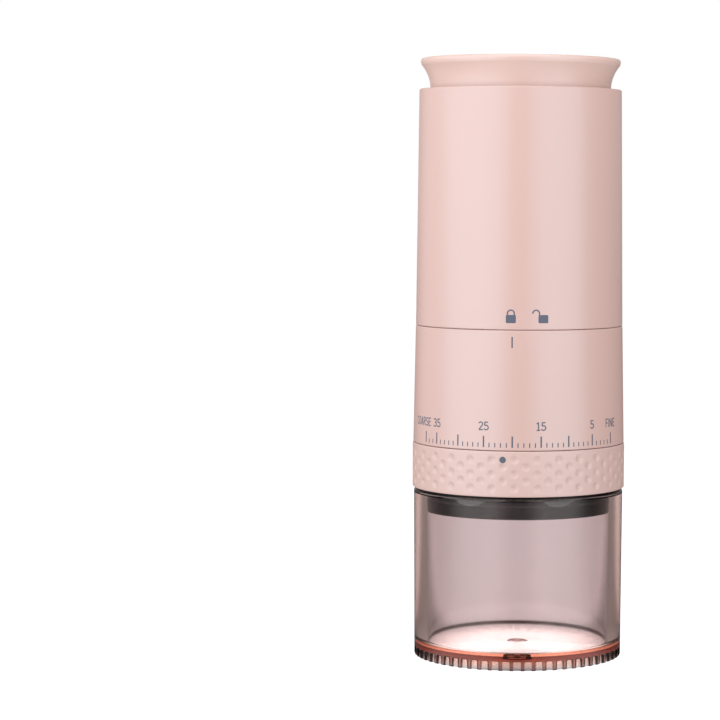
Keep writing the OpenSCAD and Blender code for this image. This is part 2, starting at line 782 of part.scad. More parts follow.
module carrier_keys() {
    color("goldenrod") for (side = [0, 180]) rotate([0, 0, side + key_angle])
        translate([carrier_r - key_seat + slip_fit, -key_w / 2, key_z])
            cube([key_seat + dial_bore_r - carrier_r + key_reach, key_w, key_h]);
}

module ring_burr() {
    gap_r = burr_gap + burr_slope * (burr_foot_z + cone_burr_h - carrier_z);
    foot_r = cone_burr_top_r + gap_r;
    head_r = foot_r - burr_slope * ring_burr_h;
    color("#b9b9bd") difference() {
        rotate_extrude() polygon([[foot_r, carrier_z], [ring_burr_r, carrier_z],
            [ring_burr_r, carrier_z + ring_burr_h], [head_r, carrier_z + ring_burr_h]]);
        at_angles(even(burr_teeth)) translate([foot_r, 0, carrier_z])
            rotate([0, -atan(burr_slope), 0]) rotate([burr_lean, 0, 0])
            translate([-over, -burr_groove_w / 2, -2 * burr_groove_w])
            cube([burr_groove_depth + over, burr_groove_w, ring_burr_h + 4 * burr_groove_w]);
    }
}

module cone_burr() {
    color("#a9a9ad") difference() {
        translate([0, 0, burr_foot_z]) cylinder(r1 = cone_burr_r, r2 = cone_burr_top_r, h = cone_burr_h);
        rod(shaft_r + shaft_fit, burr_foot_z - over, burr_foot_z + cone_burr_h + over);
        at_angles(even(burr_teeth)) translate([cone_burr_r, 0, burr_foot_z])
            rotate([0, -atan(burr_slope), 0]) rotate([-burr_lean, 0, 0])
            translate([-burr_groove_depth, -burr_groove_w / 2, -2 * burr_groove_w])
            cube([burr_groove_depth + over, burr_groove_w, cone_burr_h + 4 * burr_groove_w]);
    }
}

module burr_screws() {
    color("silver") at_angles(even(3, key_angle + 60))
        translate([burr_screw_ring_r, 0, carrier_z - shaft_fit]) screw(burr_screw_r, burr_screw_l);
}

module mill_shaft() {
    step_z = lower_bearing_z + bearing_h;
    color("#c6c6ca") {
        rod(shaft_r, lower_bearing_z - hub_lip_t, step_z + shaft_step_h / 2);
        rod(shaft_step_r, step_z, burr_foot_z);
        rod(shaft_r, burr_foot_z - shaft_step_h / 2, shaft_top_z);
        rod(nut_thread_r, hub_z - nut_h, hub_z + hub_lip_t);
    }
}

module shaft_nut() {
    color("#9a9aa0") difference() {
        union() {
            translate([0, 0, hub_z - nut_h]) cylinder(r = nut_r, h = nut_h - counterbore_gap, $fn = 6);
            rod(shaft_step_r, hub_z - counterbore_gap - over, lower_bearing_z);
        }
        rod(shaft_r + shaft_fit, hub_z, lower_bearing_z + over);
        rod(nut_thread_r + shaft_fit, hub_z - nut_h - over, lower_bearing_z + over);
    }
}

module clutch_cup() {
    color("#d8d6d0") difference() {
        union() {
            tube(cup_r, cup_r - cup_wall, cup_z, cup_z + cup_h);
            rod(cup_r, cup_z, cup_z + cup_floor_t);
            rod(tooth_in_r - dog_gap, cup_z, shaft_top_z + clutch_gap);
            for (side = [0, 180]) slice(cup_r - cup_wall / 2, tooth_in_r, cup_z + cup_floor_t / 2,
                cup_z + cup_h - 2 * cup_wall, side, tooth_turn);
        }
        rod(shaft_r + shaft_fit, cup_z - over, shaft_top_z);
    }
}

// Bearings of the mill shaft

module bearing_outer_rings() {
    color("#d0d0d4") for (z = [lower_bearing_z, upper_bearing_z]) bearing_race(z, bearing_r,
        bearing_r - bearing_ring_t, 1);
}

module bearing_inner_rings() {
    color("#c8c8cc") for (z = [lower_bearing_z, upper_bearing_z]) bearing_race(z,
        shaft_r + shaft_fit + bearing_ring_t, shaft_r + shaft_fit, 1);
}

module bearing_race(z, r_out, r_in) {
    difference() {
        tube(r_out, r_in, z, z + bearing_h);
        translate([0, 0, z + bearing_h / 2]) rotate_extrude()
            translate([ball_ring_r, 0]) circle(r = ball_r + shaft_fit, $fn = 32);
    }
}

module bearing_balls() {
    color("#e6e6ea") for (z = [lower_bearing_z, upper_bearing_z])
        at_angles(even(bearing_balls_n)) translate([ball_ring_r, 0, z + bearing_h / 2])
            sphere(r = ball_r, $fn = 24);
}

// Mill body

module mid_shell() {
    color("#eacbc3") difference() {
        rotate_extrude() polygon(concat(
            [[sleeve_r, mid_z]],
            arc([mid_r - edge_r, mid_z + edge_r], edge_r, -90, 0, 4),
            arc([mid_top_r - edge_r, mid_top_z - edge_r], edge_r, 0, 90, 4),
            [[mid_bore_r, mid_top_z], [mid_bore_r, hopper_z], [sleeve_r, hopper_z]]));
        at_angles(long_screw_angles) translate([long_screw_ring_r, 0])
            rod(long_screw_r + screw_hole_fit, mid_z - over, hopper_z + over);
        rotate([0, 0, 90]) translate([detent_ring_r, 0])
            rod(detent_r + running_fit, mid_z - over,
                dial_top_z + detent_gap + 2 * detent_r + detent_spring_h + 3 * detent_wire_r);
    }
}

module hopper() {
    hub_r = bearing_r + hub_wall;
    boss_r = long_screw_r + screw_boss_t;
    funnel_z = hopper_z + hopper_wall;
    color("#35332f") difference() {
        union() {
            tube(hopper_r, hopper_in_r, hopper_z, hopper_top_z);
            rotate_extrude() polygon([[throat_r, hopper_z + counterbore_gap],
                [hopper_in_r + over, funnel_z + funnel_h - hopper_wall],
                [hopper_in_r + over, funnel_z + funnel_h],
                [throat_r, funnel_z + counterbore_gap]]);
            rod(hub_r, bridge_z, bridge_top_z);
            at_angles(even(3, 90)) translate([0, -bridge_arm_w / 2, bridge_z - hub_lip_t])
                cube([hopper_in_r + hopper_wall / 2, bridge_arm_w, bridge_arm_h]);
            at_angles(long_screw_angles) translate([long_screw_ring_r, 0])
                rod(boss_r, hopper_z, hopper_z + screw_anchor_h + screw_boss_t);
        }
        rod(bearing_r + slip_fit, upper_bearing_z, bridge_top_z + over);
        rod(bearing_r - hub_lip_w, bridge_z - 2 * over - hub_lip_t, upper_bearing_z + over);
        at_angles(long_screw_angles) translate([long_screw_ring_r, 0])
            rod(long_screw_r + slip_fit, hopper_z - over, long_screw_z + long_screw_l + counterbore_gap);
    }
}

// Lock

module bayonet_ring() {
    color("#2f2d30") difference() {
        union() {
            tube(bayonet_r, channel_r, hopper_top_z, ledge_top_z);
            tube(bayonet_r, spigot_r + spigot_fit, ledge_z, ledge_top_z);
        }
        for (a = even(lug_count))
            slice(channel_r + slip_fit, spigot_r - over, ledge_z - over, ledge_top_z + over,
                a - unlock_turn, ledge_slot_turn);
    }
}

module lock_ring() {
    in_r = spigot_r + spigot_fit;
    out_r = channel_r - running_fit;
    prong_at = (lug_turn + prong_turn) / 2 + lug_side_turn;
    color("#d9d4cc") {
        tube(out_r, in_r, lock_ring_z, lock_ring_z + lock_ring_h);
        for (a = even(lug_count), s = [-1, 1])
            slice(out_r - slip_fit, in_r + slip_fit, lock_ring_z + lock_ring_h / 2,
                ledge_z - lock_ring_gap, a + s * prong_at, prong_turn);
    }
}

module host_floor() {
    color("#2a292c") difference() {
        union() {
            rod(host_bore_r - slip_fit, host_floor_z, gearbox_z);
            rod(spigot_r, spigot_z, gearbox_z);
            for (a = even(lug_count))
                slice(lug_r, spigot_r - spigot_wall / 2, lug_z, lug_z + lug_h, a, lug_turn);
        }
        rod(spigot_r - spigot_wall, spigot_z - over, host_floor_z);
        rod(shaft_r + bush_wall + slip_fit, host_floor_z - over, gearbox_z + over);
        at_angles(floor_screw_angles) translate([floor_screw_ring_r, 0]) {
            rod(cover_screw_r + screw_hole_fit, host_floor_z - over, gearbox_z + over);
            rod(cover_screw_r * screw_head_share + screw_hole_fit, host_floor_z - over, floor_screw_z);
        }
    }
}

module floor_screws() {
    color("silver") at_angles(floor_screw_angles)
        translate([floor_screw_ring_r, 0, floor_screw_z - shaft_fit]) screw(cover_screw_r, cover_screw_l);
}

module spindle_bush() {
    color("#b08d57") tube(shaft_r + bush_wall, shaft_r + running_fit / 2, host_floor_z + seal_lip_t,
        gearbox_z);
}

module spindle_seal() {
    color("#3a3a3d") tube(shaft_r + bush_wall, shaft_r + running_fit, host_floor_z,
        host_floor_z + seal_lip_t);
}

// Host shell

module port_outline(grow) {
    r = port_h / 2 + grow;
    for (s = [-1, 1]) translate([s * (port_w - port_h) / 2, 0]) circle(r = r, $fn = 32);
    translate([-(port_w - port_h) / 2, -r]) square([port_w - port_h, 2 * r]);
}

module host_shell() {
    color("#efd0c8") difference() {
        rotate_extrude() polygon(concat(
            [[host_bore_r, host_z]],
            arc([host_r - edge_r, host_z + edge_r], edge_r, -90, 0, 4),
            arc([host_top_r - edge_r, host_top_z - edge_r], edge_r, 0, 90, 4),
            [[cap_spigot_r + slip_fit, host_top_z], [cap_spigot_r + slip_fit, shoulder_z],
                [host_bore_r, shoulder_z]]));
        translate([0, host_bore_r - over, port_z]) rotate([-90, 0, 0])
            linear_extrude(height = host_wall + host_taper + 2 * over) port_outline(port_slot_fit);
    }
}

// Gearbox

module gearbox_housing() {
    base_z = gearbox_z + gearbox_wall;
    inside_z = base_z - gearbox_wall / 2;
    floor_boss_r = cover_screw_r + screw_boss_t;
    color("#e4e2dc") difference() {
        union() {
            difference() {
                rod(gearbox_r, gearbox_z, cover_z);
                rod(gearbox_in_r, base_z, cover_z + over);
            }
            at_angles(cover_screw_angles) translate([cover_screw_ring_r, 0])
                rod(cover_boss_r, inside_z, cover_z - slip_fit);
            at_angles(floor_screw_angles) translate([floor_screw_ring_r, 0])
                rod(floor_boss_r, inside_z, slow_z + slow_face / 2);
            translate(first_at) rod(pin_r + pin_boss_wall, inside_z, middle_z - layer_gap / 2);
            translate(second_at) rod(pin_r + pin_boss_wall, inside_z, slow_z - layer_gap / 2);
        }
        rod(shaft_r + bush_wall, gearbox_z - over, base_z + over);
        for (p = [first_at, second_at]) translate(p) rod(pin_r + shaft_fit, gearbox_z - over, cover_z);
        at_angles(cover_screw_angles) translate([cover_screw_ring_r, 0])
            rod(cover_screw_r + slip_fit, cover_z - cover_screw_l, cover_z + over);
        at_angles(floor_screw_angles) translate([floor_screw_ring_r, 0])
            rod(cover_screw_r + slip_fit, gearbox_z - over, floor_screw_z + cover_screw_l + counterbore_gap);
    }
}

module gearbox_cover() {
    color("#dad8d2") difference() {
        union() {
            rod(gearbox_r, cover_z, motor_z);
            rod(shaft_r + bush_wall, cover_z - layer_gap / 2, cover_z + over);
        }
        rod(shaft_r - spindle_step + running_fit / 2, cover_z - 2 * over, cover_z + gearbox_cover_t / 2);
        translate(motor_at) rod(motor_boss_r + slip_fit, cover_z - over, motor_z + over);
        for (p = [first_at, second_at]) translate(p) rod(pin_r + shaft_fit, cover_z - over, motor_z - over);
        at_angles(cover_screw_angles) translate([cover_screw_ring_r, 0]) {
            rod(cover_screw_r + screw_hole_fit, cover_z - over, motor_z + over);
            rod(cover_screw_r * screw_head_share + screw_hole_fit, cover_screw_z, motor_z + over);
        }
        for (s = [-1, 1]) translate([s * motor_screw_ring_r, motor_offset]) {
            rod(motor_screw_r + screw_hole_fit, cover_z - over, motor_z + over);
            rod(motor_screw_r * screw_head_share + screw_hole_fit, cover_z - over,
                cover_z + gearbox_cover_t / 2);
        }
    }
}

// The cover's screws point down, so each is a screw turned over
module cover_screws() {
    color("silver") at_angles(cover_screw_angles)
        translate([cover_screw_ring_r, 0, cover_screw_z + shaft_fit]) mirror([0, 0, 1])
            screw(cover_screw_r, cover_screw_l - gearbox_cover_t);
}

module motor_screws() {
    color("silver") for (s = [-1, 1])
        translate([s * motor_screw_ring_r, motor_offset, cover_z + gearbox_cover_t / 2 - shaft_fit])
            flat_screw(motor_screw_r, gearbox_cover_t / 2 + motor_can_t,
                gearbox_cover_t / 2 - 2 * shaft_fit);
}

module flat_screw(r, l, head_h) {
    rod(r, -head_h / 2, l);
    translate([0, 0, -head_h]) difference() {
        cylinder(r = r * screw_head_share, h = head_h);
        translate([-r, -head_h / 4, -over]) cube([2 * r, head_h / 2, over + head_h / 3]);
    }
}

module gear_pins() {
    color("#b5b5ba") for (p = [first_at, second_at]) translate(p)
        rod(pin_r, gearbox_z + layer_gap, motor_z - over - layer_gap / 4);
}

module first_gear() {
    to_motor = first_gear_angle + 180;
    color("#f1ead6") translate(first_at) {
        gear(fast_teeth, fast_module, fast_z, fast_z + fast_face, pin_r + running_fit / 2,
            to_motor + 180 / fast_teeth);
        gear(pinion_teeth, middle_module, middle_z, fast_z + fast_face / 2, pin_r + running_fit / 2,
            first_to_second);
    }
}

module second_gear() {
    color("#f1ead6") translate(second_at) {
        gear(middle_teeth, middle_module, middle_z, middle_z + middle_face, pin_r + running_fit / 2,
            first_to_second + 180 + 180 / middle_teeth);
        gear(pinion_teeth, slow_module, slow_z, middle_z + middle_face / 2, pin_r + running_fit / 2,
            second_angle + 180);
    }
}

module output_gear() {
    color("#8f8f94") gear(slow_teeth, slow_module, slow_z, slow_z + slow_face, shaft_r + shaft_fit,
        second_angle + 180 / slow_teeth);
}

module drive_pinion() {
    color("#c9a24a") translate(motor_at) gear(pinion_teeth, fast_module, fast_z - pinion_play,
        fast_z + fast_face + pinion_play, motor_shaft_r + shaft_fit, first_gear_angle);
}

module output_spindle() {
    color("#c4c4c8") {
        rod(shaft_r, dog_z + dog_plate_t, fast_z + fast_face);
        rod(shaft_r - spindle_step, fast_z, cover_z + gearbox_cover_t / 2 - shaft_fit);
        rod(shaft_r + spindle_step, gearbox_z + gearbox_wall / 2, slow_z);
    }
}

module clutch_dog() {
    dog_r = cup_r - cup_wall - dog_gap;
    foot_z = cup_z + cup_floor_t + dog_gap;
    color("#cfcdc6") difference() {
        union() {
            rod(dog_r, dog_z, dog_z + dog_plate_t);
            rod(shaft_r + cup_wall, dog_z, host_floor_z - dog_gap);
            for (side = [90, 270])
                slice(dog_r, tooth_in_r, foot_z, dog_z + dog_plate_t / 2, side, tooth_turn);
        }
        rod(shaft_r + shaft_fit, dog_z + dog_plate_t - shaft_fit, host_floor_z);
    }
}

// Motor

module motor_can() {
    color("#b7b9bd") translate(motor_at) difference() {
        union() {
            tube(motor_r, motor_r - motor_can_t, motor_z, motor_z + motor_h);
            rod(motor_r, motor_z, motor_z + motor_can_t);
            rod(motor_boss_r, motor_z - motor_boss_h, motor_z + motor_can_t);
        }
        rod(motor_boss_r - motor_can_t, motor_z - motor_boss_h - over, motor_z + motor_can_t + over);
        for (s = [-1, 1]) translate([s * motor_screw_ring_r, 0])
            rod(motor_screw_r + slip_fit, motor_z - over, motor_z + motor_can_t + over);
    }
}

module motor_magnets() {
    out_r = motor_r - motor_can_t - slip_fit;
    color("#47474b") translate(motor_at) for (side = [90, 270])
        slice(out_r, out_r - magnet_t, motor_z + magnet_lift, motor_z + magnet_lift + magnet_h, side,
            magnet_turn);
}

module motor_end_cap() {
    z0 = motor_z + motor_h;
    color("#2c2c2f") translate(motor_at) difference() {
        rod(motor_r, z0, z0 + motor_cap_h);
        rod(motor_r - 2 * motor_can_t, z0 - over, z0 + motor_cap_h - motor_can_t);
        rod(motor_shaft_r + running_fit / 2, z0, z0 + motor_cap_h + over);
        for (s = [-1, 1]) translate([s * motor_screw_ring_r, 0])
            rod(lead_r + screw_hole_fit, z0, z0 + motor_cap_h + over);
    }
}

module motor_rotor() {
    z0 = motor_z + rotor_lift;
    color("#8b8d92") translate(motor_at) {
        difference() {
            rod(rotor_r, z0, z0 + rotor_h);
            at_angles(even(rotor_poles)) translate([rotor_core_r, -rotor_slot_w / 2, z0 - over])
                cube([rotor_r, rotor_slot_w, rotor_h + 2 * over]);
        }
        rod(motor_shaft_r, fast_z - pinion_play, motor_z + motor_h + motor_cap_h);
        rod(commutator_r, z0 + rotor_h + winding_fit, z0 + rotor_h + winding_fit + commutator_h);
        rod(rotor_core_r / 2, z0 + rotor_h / 2, z0 + rotor_h + commutator_h / 2);
    }
}

module rotor_windings() {
    z0 = motor_z + rotor_lift;
    color("#b5612d") translate(motor_at) at_angles(even(rotor_poles))
        translate([rotor_core_r + winding_fit, -rotor_slot_w / 2 + winding_fit, z0 - over])
            cube([rotor_r - rotor_core_r - 2 * winding_fit - over, rotor_slot_w - 2 * winding_fit,
                rotor_h + 2 * over]);
}

// Battery

module cell_places() {
    for (s = [-1, 1]) translate([s * cell_x, cell_y]) children();
}

module battery_cells() {
    nub_r = cell_r / 3;
    nub_h = 1;
    color("#4f8fb8") cell_places() {
        rod(cell_r, cell_z, cell_top_z - nub_h);
        rod(nub_r, cell_top_z - nub_h - over, cell_top_z);
    }
}

module battery_cradle() {
    plate_r = cell_r + cradle_rim;
    web_y = cell_y + cell_r + cradle_rim;
    color("#3b3b3f") {
        for (z = [cradle_z, cell_top_z + tab_t]) translate([0, 0, z]) linear_extrude(height = cradle_t) {
            cell_places() circle(r = plate_r);
            translate([-cell_x, web_y - cell_r]) square([2 * cell_x, cell_r + cradle_t]);
        }
        translate([-cell_x, web_y, cradle_z])
            cube([2 * cell_x, cradle_t, cell_top_z + tab_t + cradle_t - cradle_z]);
    }
}

module battery_tabs() {
    color("#c9c9c4") {
        translate([-cell_x - tab_w / 2, cell_y - tab_w / 2, cell_z - tab_t])
            cube([2 * cell_x + tab_w, tab_w, tab_t]);
        for (s = [-1, 1]) translate([s * cell_x - tab_w / 2, cell_y - tab_w / 2, cell_top_z])
            cube([tab_w, tab_w, tab_t]);
    }
}

// Board, socket, switch and leads

module control_board() {
    led_at = button_r + button_gap + light_ring_w / 2;
    color("#2f6b4f") {
        difference() {
            rod(board_r, board_z, board_top_z);
            at_angles(board_screw_angles) translate([board_screw_ring_r, 0])
                rod(board_screw_r + screw_hole_fit, board_z - over, board_top_z + over);
            for (s = [-1, 1]) translate([s * motor_screw_ring_r, motor_offset])
                rod(lead_r + screw_hole_fit, board_z - over, board_top_z + over);
        }
        at_angles(even(4, 45)) translate([led_at - led_w / 2, -led_w / 2, board_top_z - over])
            cube([led_w, led_w, led_h + over]);
    }
}

module charge_port() {
    front = host_bore_r - spigot_fit;
    color("#c2c4c8") translate([0, front - port_l, port_z]) rotate([-90, 0, 0]) {
        difference() {
            linear_extrude(height = port_l) port_outline(-shaft_fit);
            translate([0, 0, 2 * port_wall]) linear_extrude(height = port_l) port_outline(-port_wall);
        }
        translate([-port_w / 2 + port_h / 2, -port_tongue_t / 2, port_wall])
            cube([port_w - port_h, port_tongue_t, port_l - 3 * port_wall]);
    }
}

module push_switch() {
    color("#3c3c40") difference() {
        translate([-switch_w / 2, -switch_w / 2, board_top_z]) cube([switch_w, switch_w, switch_h]);
        rod(plunger_r + plunger_fit, board_top_z + switch_h / 3, board_top_z + switch_h + over);
    }
}

module switch_plunger() {
    color("#1b1b1d") rod(plunger_r, board_top_z + switch_h / 3 + button_travel + plunger_fit, button_z);
}

module board_screws() {
    color("silver") at_angles(board_screw_angles)
        translate([board_screw_ring_r, 0, board_z - shaft_fit])
            flat_screw(board_screw_r, board_screw_l, board_screw_head_t);
}

module motor_leads() {
    start_z = motor_z + motor_h + motor_cap_h / 2;
    free_z = motor_z + motor_h + motor_cap_h;
    color("#b32a2a") for (s = [-1, 1]) let (x = s * motor_screw_ring_r)
        sweep(concat([[x, motor_offset, start_z]],
            [for (i = [0:lead_steps]) [x, motor_offset + lead_bow * sin(180 * i / lead_steps) ^ 2,
                free_z + (board_z - free_z) * i / lead_steps]],
            [[x, motor_offset, board_top_z]]), lead_r, lead_sides);
}

// Cap and button

module top_cap() {
    flare_at = [neck_r + flare_r, host_top_z + slip_fit];
    lip_at = [rim_r - lip_r, top_z - lip_r];
    flare_turn = acos((flare_at.x - rim_r + lip_r / 4) / flare_r);
    hole_r = button_r + button_gap + light_ring_w + slip_fit;
    under_in_r = cap_spigot_r - cap_wall;
    color("#e8c3b8") difference() {
        union() {
            rotate_extrude() polygon(concat(
                [[hole_r, dish_under_z], [under_in_r, dish_under_z], [under_in_r, board_top_z],
                    [cap_spigot_r, board_top_z], [cap_spigot_r, host_top_z + slip_fit],
                    [neck_r, host_top_z + slip_fit]],
                arc(flare_at, flare_r, 180, 180 - flare_turn, 12),
                arc(lip_at, lip_r, -lip_low_turn, lip_high_turn),
                arc([neck_r - cap_wall - dish_depth / 2, dish_z + dish_depth / 2], dish_depth / 2, 0, -90),
                [[hole_r, dish_z]]));
            at_angles(board_screw_angles) translate([board_screw_ring_r, 0])
                rod(board_screw_r + screw_boss_t, board_top_z, dish_under_z + over);
        }
        at_angles(board_screw_angles) translate([board_screw_ring_r, 0])
            rod(board_screw_r + slip_fit, board_top_z - over, board_z + board_screw_l + counterbore_gap);
    }
}

module light_ring() {
    r_in = button_r + button_gap;
    color("white", 0.9) tube(r_in + light_ring_w, r_in, dish_under_z, dish_z);
}

module power_button() {
    color("#c9a79c") rotate_extrude() polygon(concat(
        [[0, button_z], [button_r + button_flange_w, button_z],
            [button_r + button_flange_w, button_z + button_flange_t],
            [button_r, button_z + button_flange_t]],
        arc([button_r - edge_r, dish_z + button_rise - edge_r], edge_r, 0, 90, 4),
        [[0, dish_z + button_rise - button_crown]]));
}

jar();
jar_collar();
jar_seal();
core_housing();
long_screws();
mid_shell();
hopper();
bayonet_ring();
bearing_outer_rings();
bearing_balls();
bearing_inner_rings();
mill_shaft();
cone_burr();
shaft_nut();
clutch_cup();
dial_ring();
detent_ball();
detent_spring();
burr_carrier();
ring_burr();
burr_screws();
carrier_keys();
lock_ring();
host_shell();
host_floor();
floor_screws();
spindle_bush();
spindle_seal();
gearbox_housing();
gearbox_cover();
cover_screws();
gear_pins();
first_gear();
second_gear();
output_gear();
output_spindle();
clutch_dog();
motor_can();
motor_magnets();
motor_end_cap();
motor_screws();
motor_rotor();
rotor_windings();
drive_pinion();
battery_cells();
battery_cradle();
battery_tabs();
control_board();
push_switch();
charge_port();
board_screws();
motor_leads();
top_cap();
light_ring();
power_button();
switch_plunger();
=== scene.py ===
import math
import bmesh
import bpy
import numpy as np
from mathutils import Matrix, Vector


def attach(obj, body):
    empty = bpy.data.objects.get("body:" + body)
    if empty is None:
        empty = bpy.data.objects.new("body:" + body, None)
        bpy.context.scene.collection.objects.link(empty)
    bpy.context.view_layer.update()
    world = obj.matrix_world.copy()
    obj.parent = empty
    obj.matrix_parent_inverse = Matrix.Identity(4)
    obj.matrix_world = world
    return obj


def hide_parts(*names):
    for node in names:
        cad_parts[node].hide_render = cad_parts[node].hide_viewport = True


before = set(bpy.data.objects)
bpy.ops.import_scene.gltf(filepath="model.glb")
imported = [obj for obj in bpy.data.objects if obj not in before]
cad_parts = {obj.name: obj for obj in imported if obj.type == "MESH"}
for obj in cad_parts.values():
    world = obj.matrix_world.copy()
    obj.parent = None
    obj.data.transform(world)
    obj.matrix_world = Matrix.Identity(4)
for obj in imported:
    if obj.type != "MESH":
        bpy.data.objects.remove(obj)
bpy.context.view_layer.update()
scene = bpy.context.scene
# the pieces' sizes are in millimetres, those of the camera, the clear material and the studio in metres; a
# point nearer to the axis than a hair lies on it
mm = 0.001
hair = 1e-7
print("frame loaded:", len(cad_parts), "nodes")

# a long lens at the height of the host's middle, looking slightly down
camera = {
    "lens": 127.0, "sensor": 36.0, "distance": 838 * mm, "height": 151.8 * mm,
    "pitch": 3.71, "roll": 0.37, "shiftX": -0.2208, "shiftY": 0.0007, "near": 0.01, "far": 20,
}


def makeCamera(c):
    data = bpy.data.cameras.new("photoCamera")
    data.lens, data.sensor_width = c["lens"], c["sensor"]
    data.shift_x, data.shift_y = c["shiftX"], c["shiftY"]
    data.clip_start, data.clip_end = c["near"], c["far"]
    eye = bpy.data.objects.new("photoCamera", data)
    tilt = Matrix.Rotation(math.radians(90 - c["pitch"]), 4, "X")
    lean = Matrix.Rotation(math.radians(c["roll"]), 4, "Z")
    eye.matrix_world = Matrix.Translation((0, -c["distance"], c["height"])) @ (tilt @ lean)
    scene.collection.objects.link(eye)
    scene.camera = eye


makeCamera(camera)


# a round stretch of points about the centre at, between two angles in degrees
def bend(at, wide, tall, start, stop, steps=14):
    turns = [math.radians(start + (stop - start) * i / steps) for i in range(steps + 1)]
    return [(at[0] + wide * math.cos(t), at[1] + tall * math.sin(t)) for t in turns]


def arc(at, radius, start, stop, steps=8):
    return bend(at, radius, radius, start, stop, steps)


def smoothByAngle(mesh, degrees=35):
    mesh.shade_smooth()
    mesh.set_sharp_from_angle(angle=math.radians(degrees))


def linked(name, mesh, material=None):
    piece = bpy.data.objects.new(name, mesh)
    scene.collection.objects.link(piece)
    if material:
        mesh.materials.clear()
        mesh.materials.append(material)
    return piece


def meshFrom(name, form):
    bmesh.ops.recalc_face_normals(form, faces=form.faces)
    mesh = bpy.data.meshes.new(name)
    form.to_mesh(mesh)
    form.free()
    smoothByAngle(mesh)
    return mesh


# closes a run of rings with equal numbers of points into one solid
def closeRings(form, rings):
    form.faces.new(rings[0])
    form.faces.new(rings[-1][::-1])
    for a, b in zip(rings, rings[1:]):
        for k in range(len(a)):
            n = (k + 1) % len(a)
            form.faces.new([a[k], b[k], b[n], a[n]])


# a point close to each end of a long straight run keeps its shading straight up to the rounded edge; a run
# along the axis needs none
def steadied(outline, long=1.2 * mm, near=0.05 * mm):
    points = []
    for a, b in zip(outline, outline[1:] + outline[:1]):
        span = math.dist(a, b)
        points.append(a)
        if span > long and max(a[0], b[0]) > hair:
            for share in (near / span, 1 - near / span):
                points.append((a[0] + (b[0] - a[0]) * share, a[1] + (b[1] - a[1]) * share))
    return points


# turns a closed outline of (radius, height) round the axis, with one point where it lies on the axis
def lathe(name, outline, steps=360):
    form = bmesh.new()
    rings = []
    for radius, height in steadied(outline):
        count = steps if radius > hair else 1
        turns = [2 * math.pi * i / steps for i in range(count)]
        rings.append([form.verts.new((radius * math.sin(t), -radius * math.cos(t), height)) for t in turns])
    for low, high in zip(rings, rings[1:] + rings[:1]):
        if len(low) == 1 and len(high) == 1:
            continue
        for i in range(steps):
            j = (i + 1) % steps
            corners = [low[i % len(low)], low[j % len(low)], high[j % len(high)], high[i % len(high)]]
            form.faces.new(list(dict.fromkeys(corners)))
    return meshFrom(name, form)


def dressed(piece, body, slot, *replaced):
    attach(piece, body)
    if replaced:
        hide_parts(*replaced)
    return piece


# a merged copy of a CAD node, shaded smooth, that stands for the node
def smoothCopy(node, body, slot, material, degrees, weld=1e-6):
    form = bmesh.new()
    form.from_mesh(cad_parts[node].data)
    bmesh.ops.remove_doubles(form, verts=form.verts, dist=weld)
    mesh = bpy.data.meshes.new(node + "Fine")
    form.to_mesh(mesh)
    form.free()
    smoothByAngle(mesh, degrees)
    return dressed(linked(node + "Fine", mesh, material), body, slot, node)


# shader groups
def newGroup(name, inputs, outputs):
    tree = bpy.data.node_groups.new(name, "ShaderNodeTree")
    for socketName, kind, value in inputs:
        socket = tree.interface.new_socket(socketName, in_out="INPUT", socket_type=kind)
        socket.default_value = value
    for socketName, kind in outputs:
        tree.interface.new_socket(socketName, in_out="OUTPUT", socket_type=kind)
    return tree, tree.nodes.new("NodeGroupInput"), tree.nodes.new("NodeGroupOutput")


def mathNode(tree, operation, a, b=None, c=None, clamp=False):
    node = tree.nodes.new("ShaderNodeMath")
    node.operation, node.use_clamp = operation, clamp
    for socket, value in zip(node.inputs, (a, b, c)):
        if isinstance(value, (int, float)):
            socket.default_value = value
        elif value is not None:
            tree.links.new(value, socket)
    return node.outputs[0]


def noiseNode(tree, vector, scale, detail=3, roughness=0.5):
    node = tree.nodes.new("ShaderNodeTexNoise")
    tree.links.new(vector, node.inputs["Vector"])
    if isinstance(scale, (int, float)):
        node.inputs["Scale"].default_value = scale
    else:
        tree.links.new(scale, node.inputs["Scale"])
    node.inputs["Detail"].default_value = detail
    node.inputs["Roughness"].default_value = roughness
    return node.outputs["Fac"]


def mixColour(tree, factor, a, b, blend="MIX"):
    node = tree.nodes.new("ShaderNodeMix")
    node.data_type, node.blend_type = "RGBA", blend
    for socket, value in ((node.inputs["Factor"], factor), (node.inputs["A"], a), (node.inputs["B"], b)):
        if isinstance(value, (int, float)):
            socket.default_value = value
        elif isinstance(value, (tuple, list)):
            socket.default_value = (*value[:3], 1)
        else:
            tree.links.new(value, socket)
    return node.outputs["Result"]


# a blend from 0 to 1 between two values
def ramp(tree, value, low, high):
    node = tree.nodes.new("ShaderNodeMapRange")
    node.interpolation_type = "SMOOTHSTEP"
    tree.links.new(value, node.inputs["Value"])
    node.inputs["From Min"].default_value = low
    node.inputs["From Max"].default_value = high
    return node.outputs["Result"]


# how far a noise swings from its middle, times a depth
def swing(tree, noise, depth):
    return mathNode(tree, "MULTIPLY", mathNode(tree, "SUBTRACT", noise, 0.5), depth)


# a colour times a grey level
def shaded(tree, colour, level):
    grey = tree.nodes.new("ShaderNodeCombineColor")
    for socket in grey.inputs:
        tree.links.new(level, socket)
    return mixColour(tree, 1.0, colour, grey.outputs[0], "MULTIPLY")


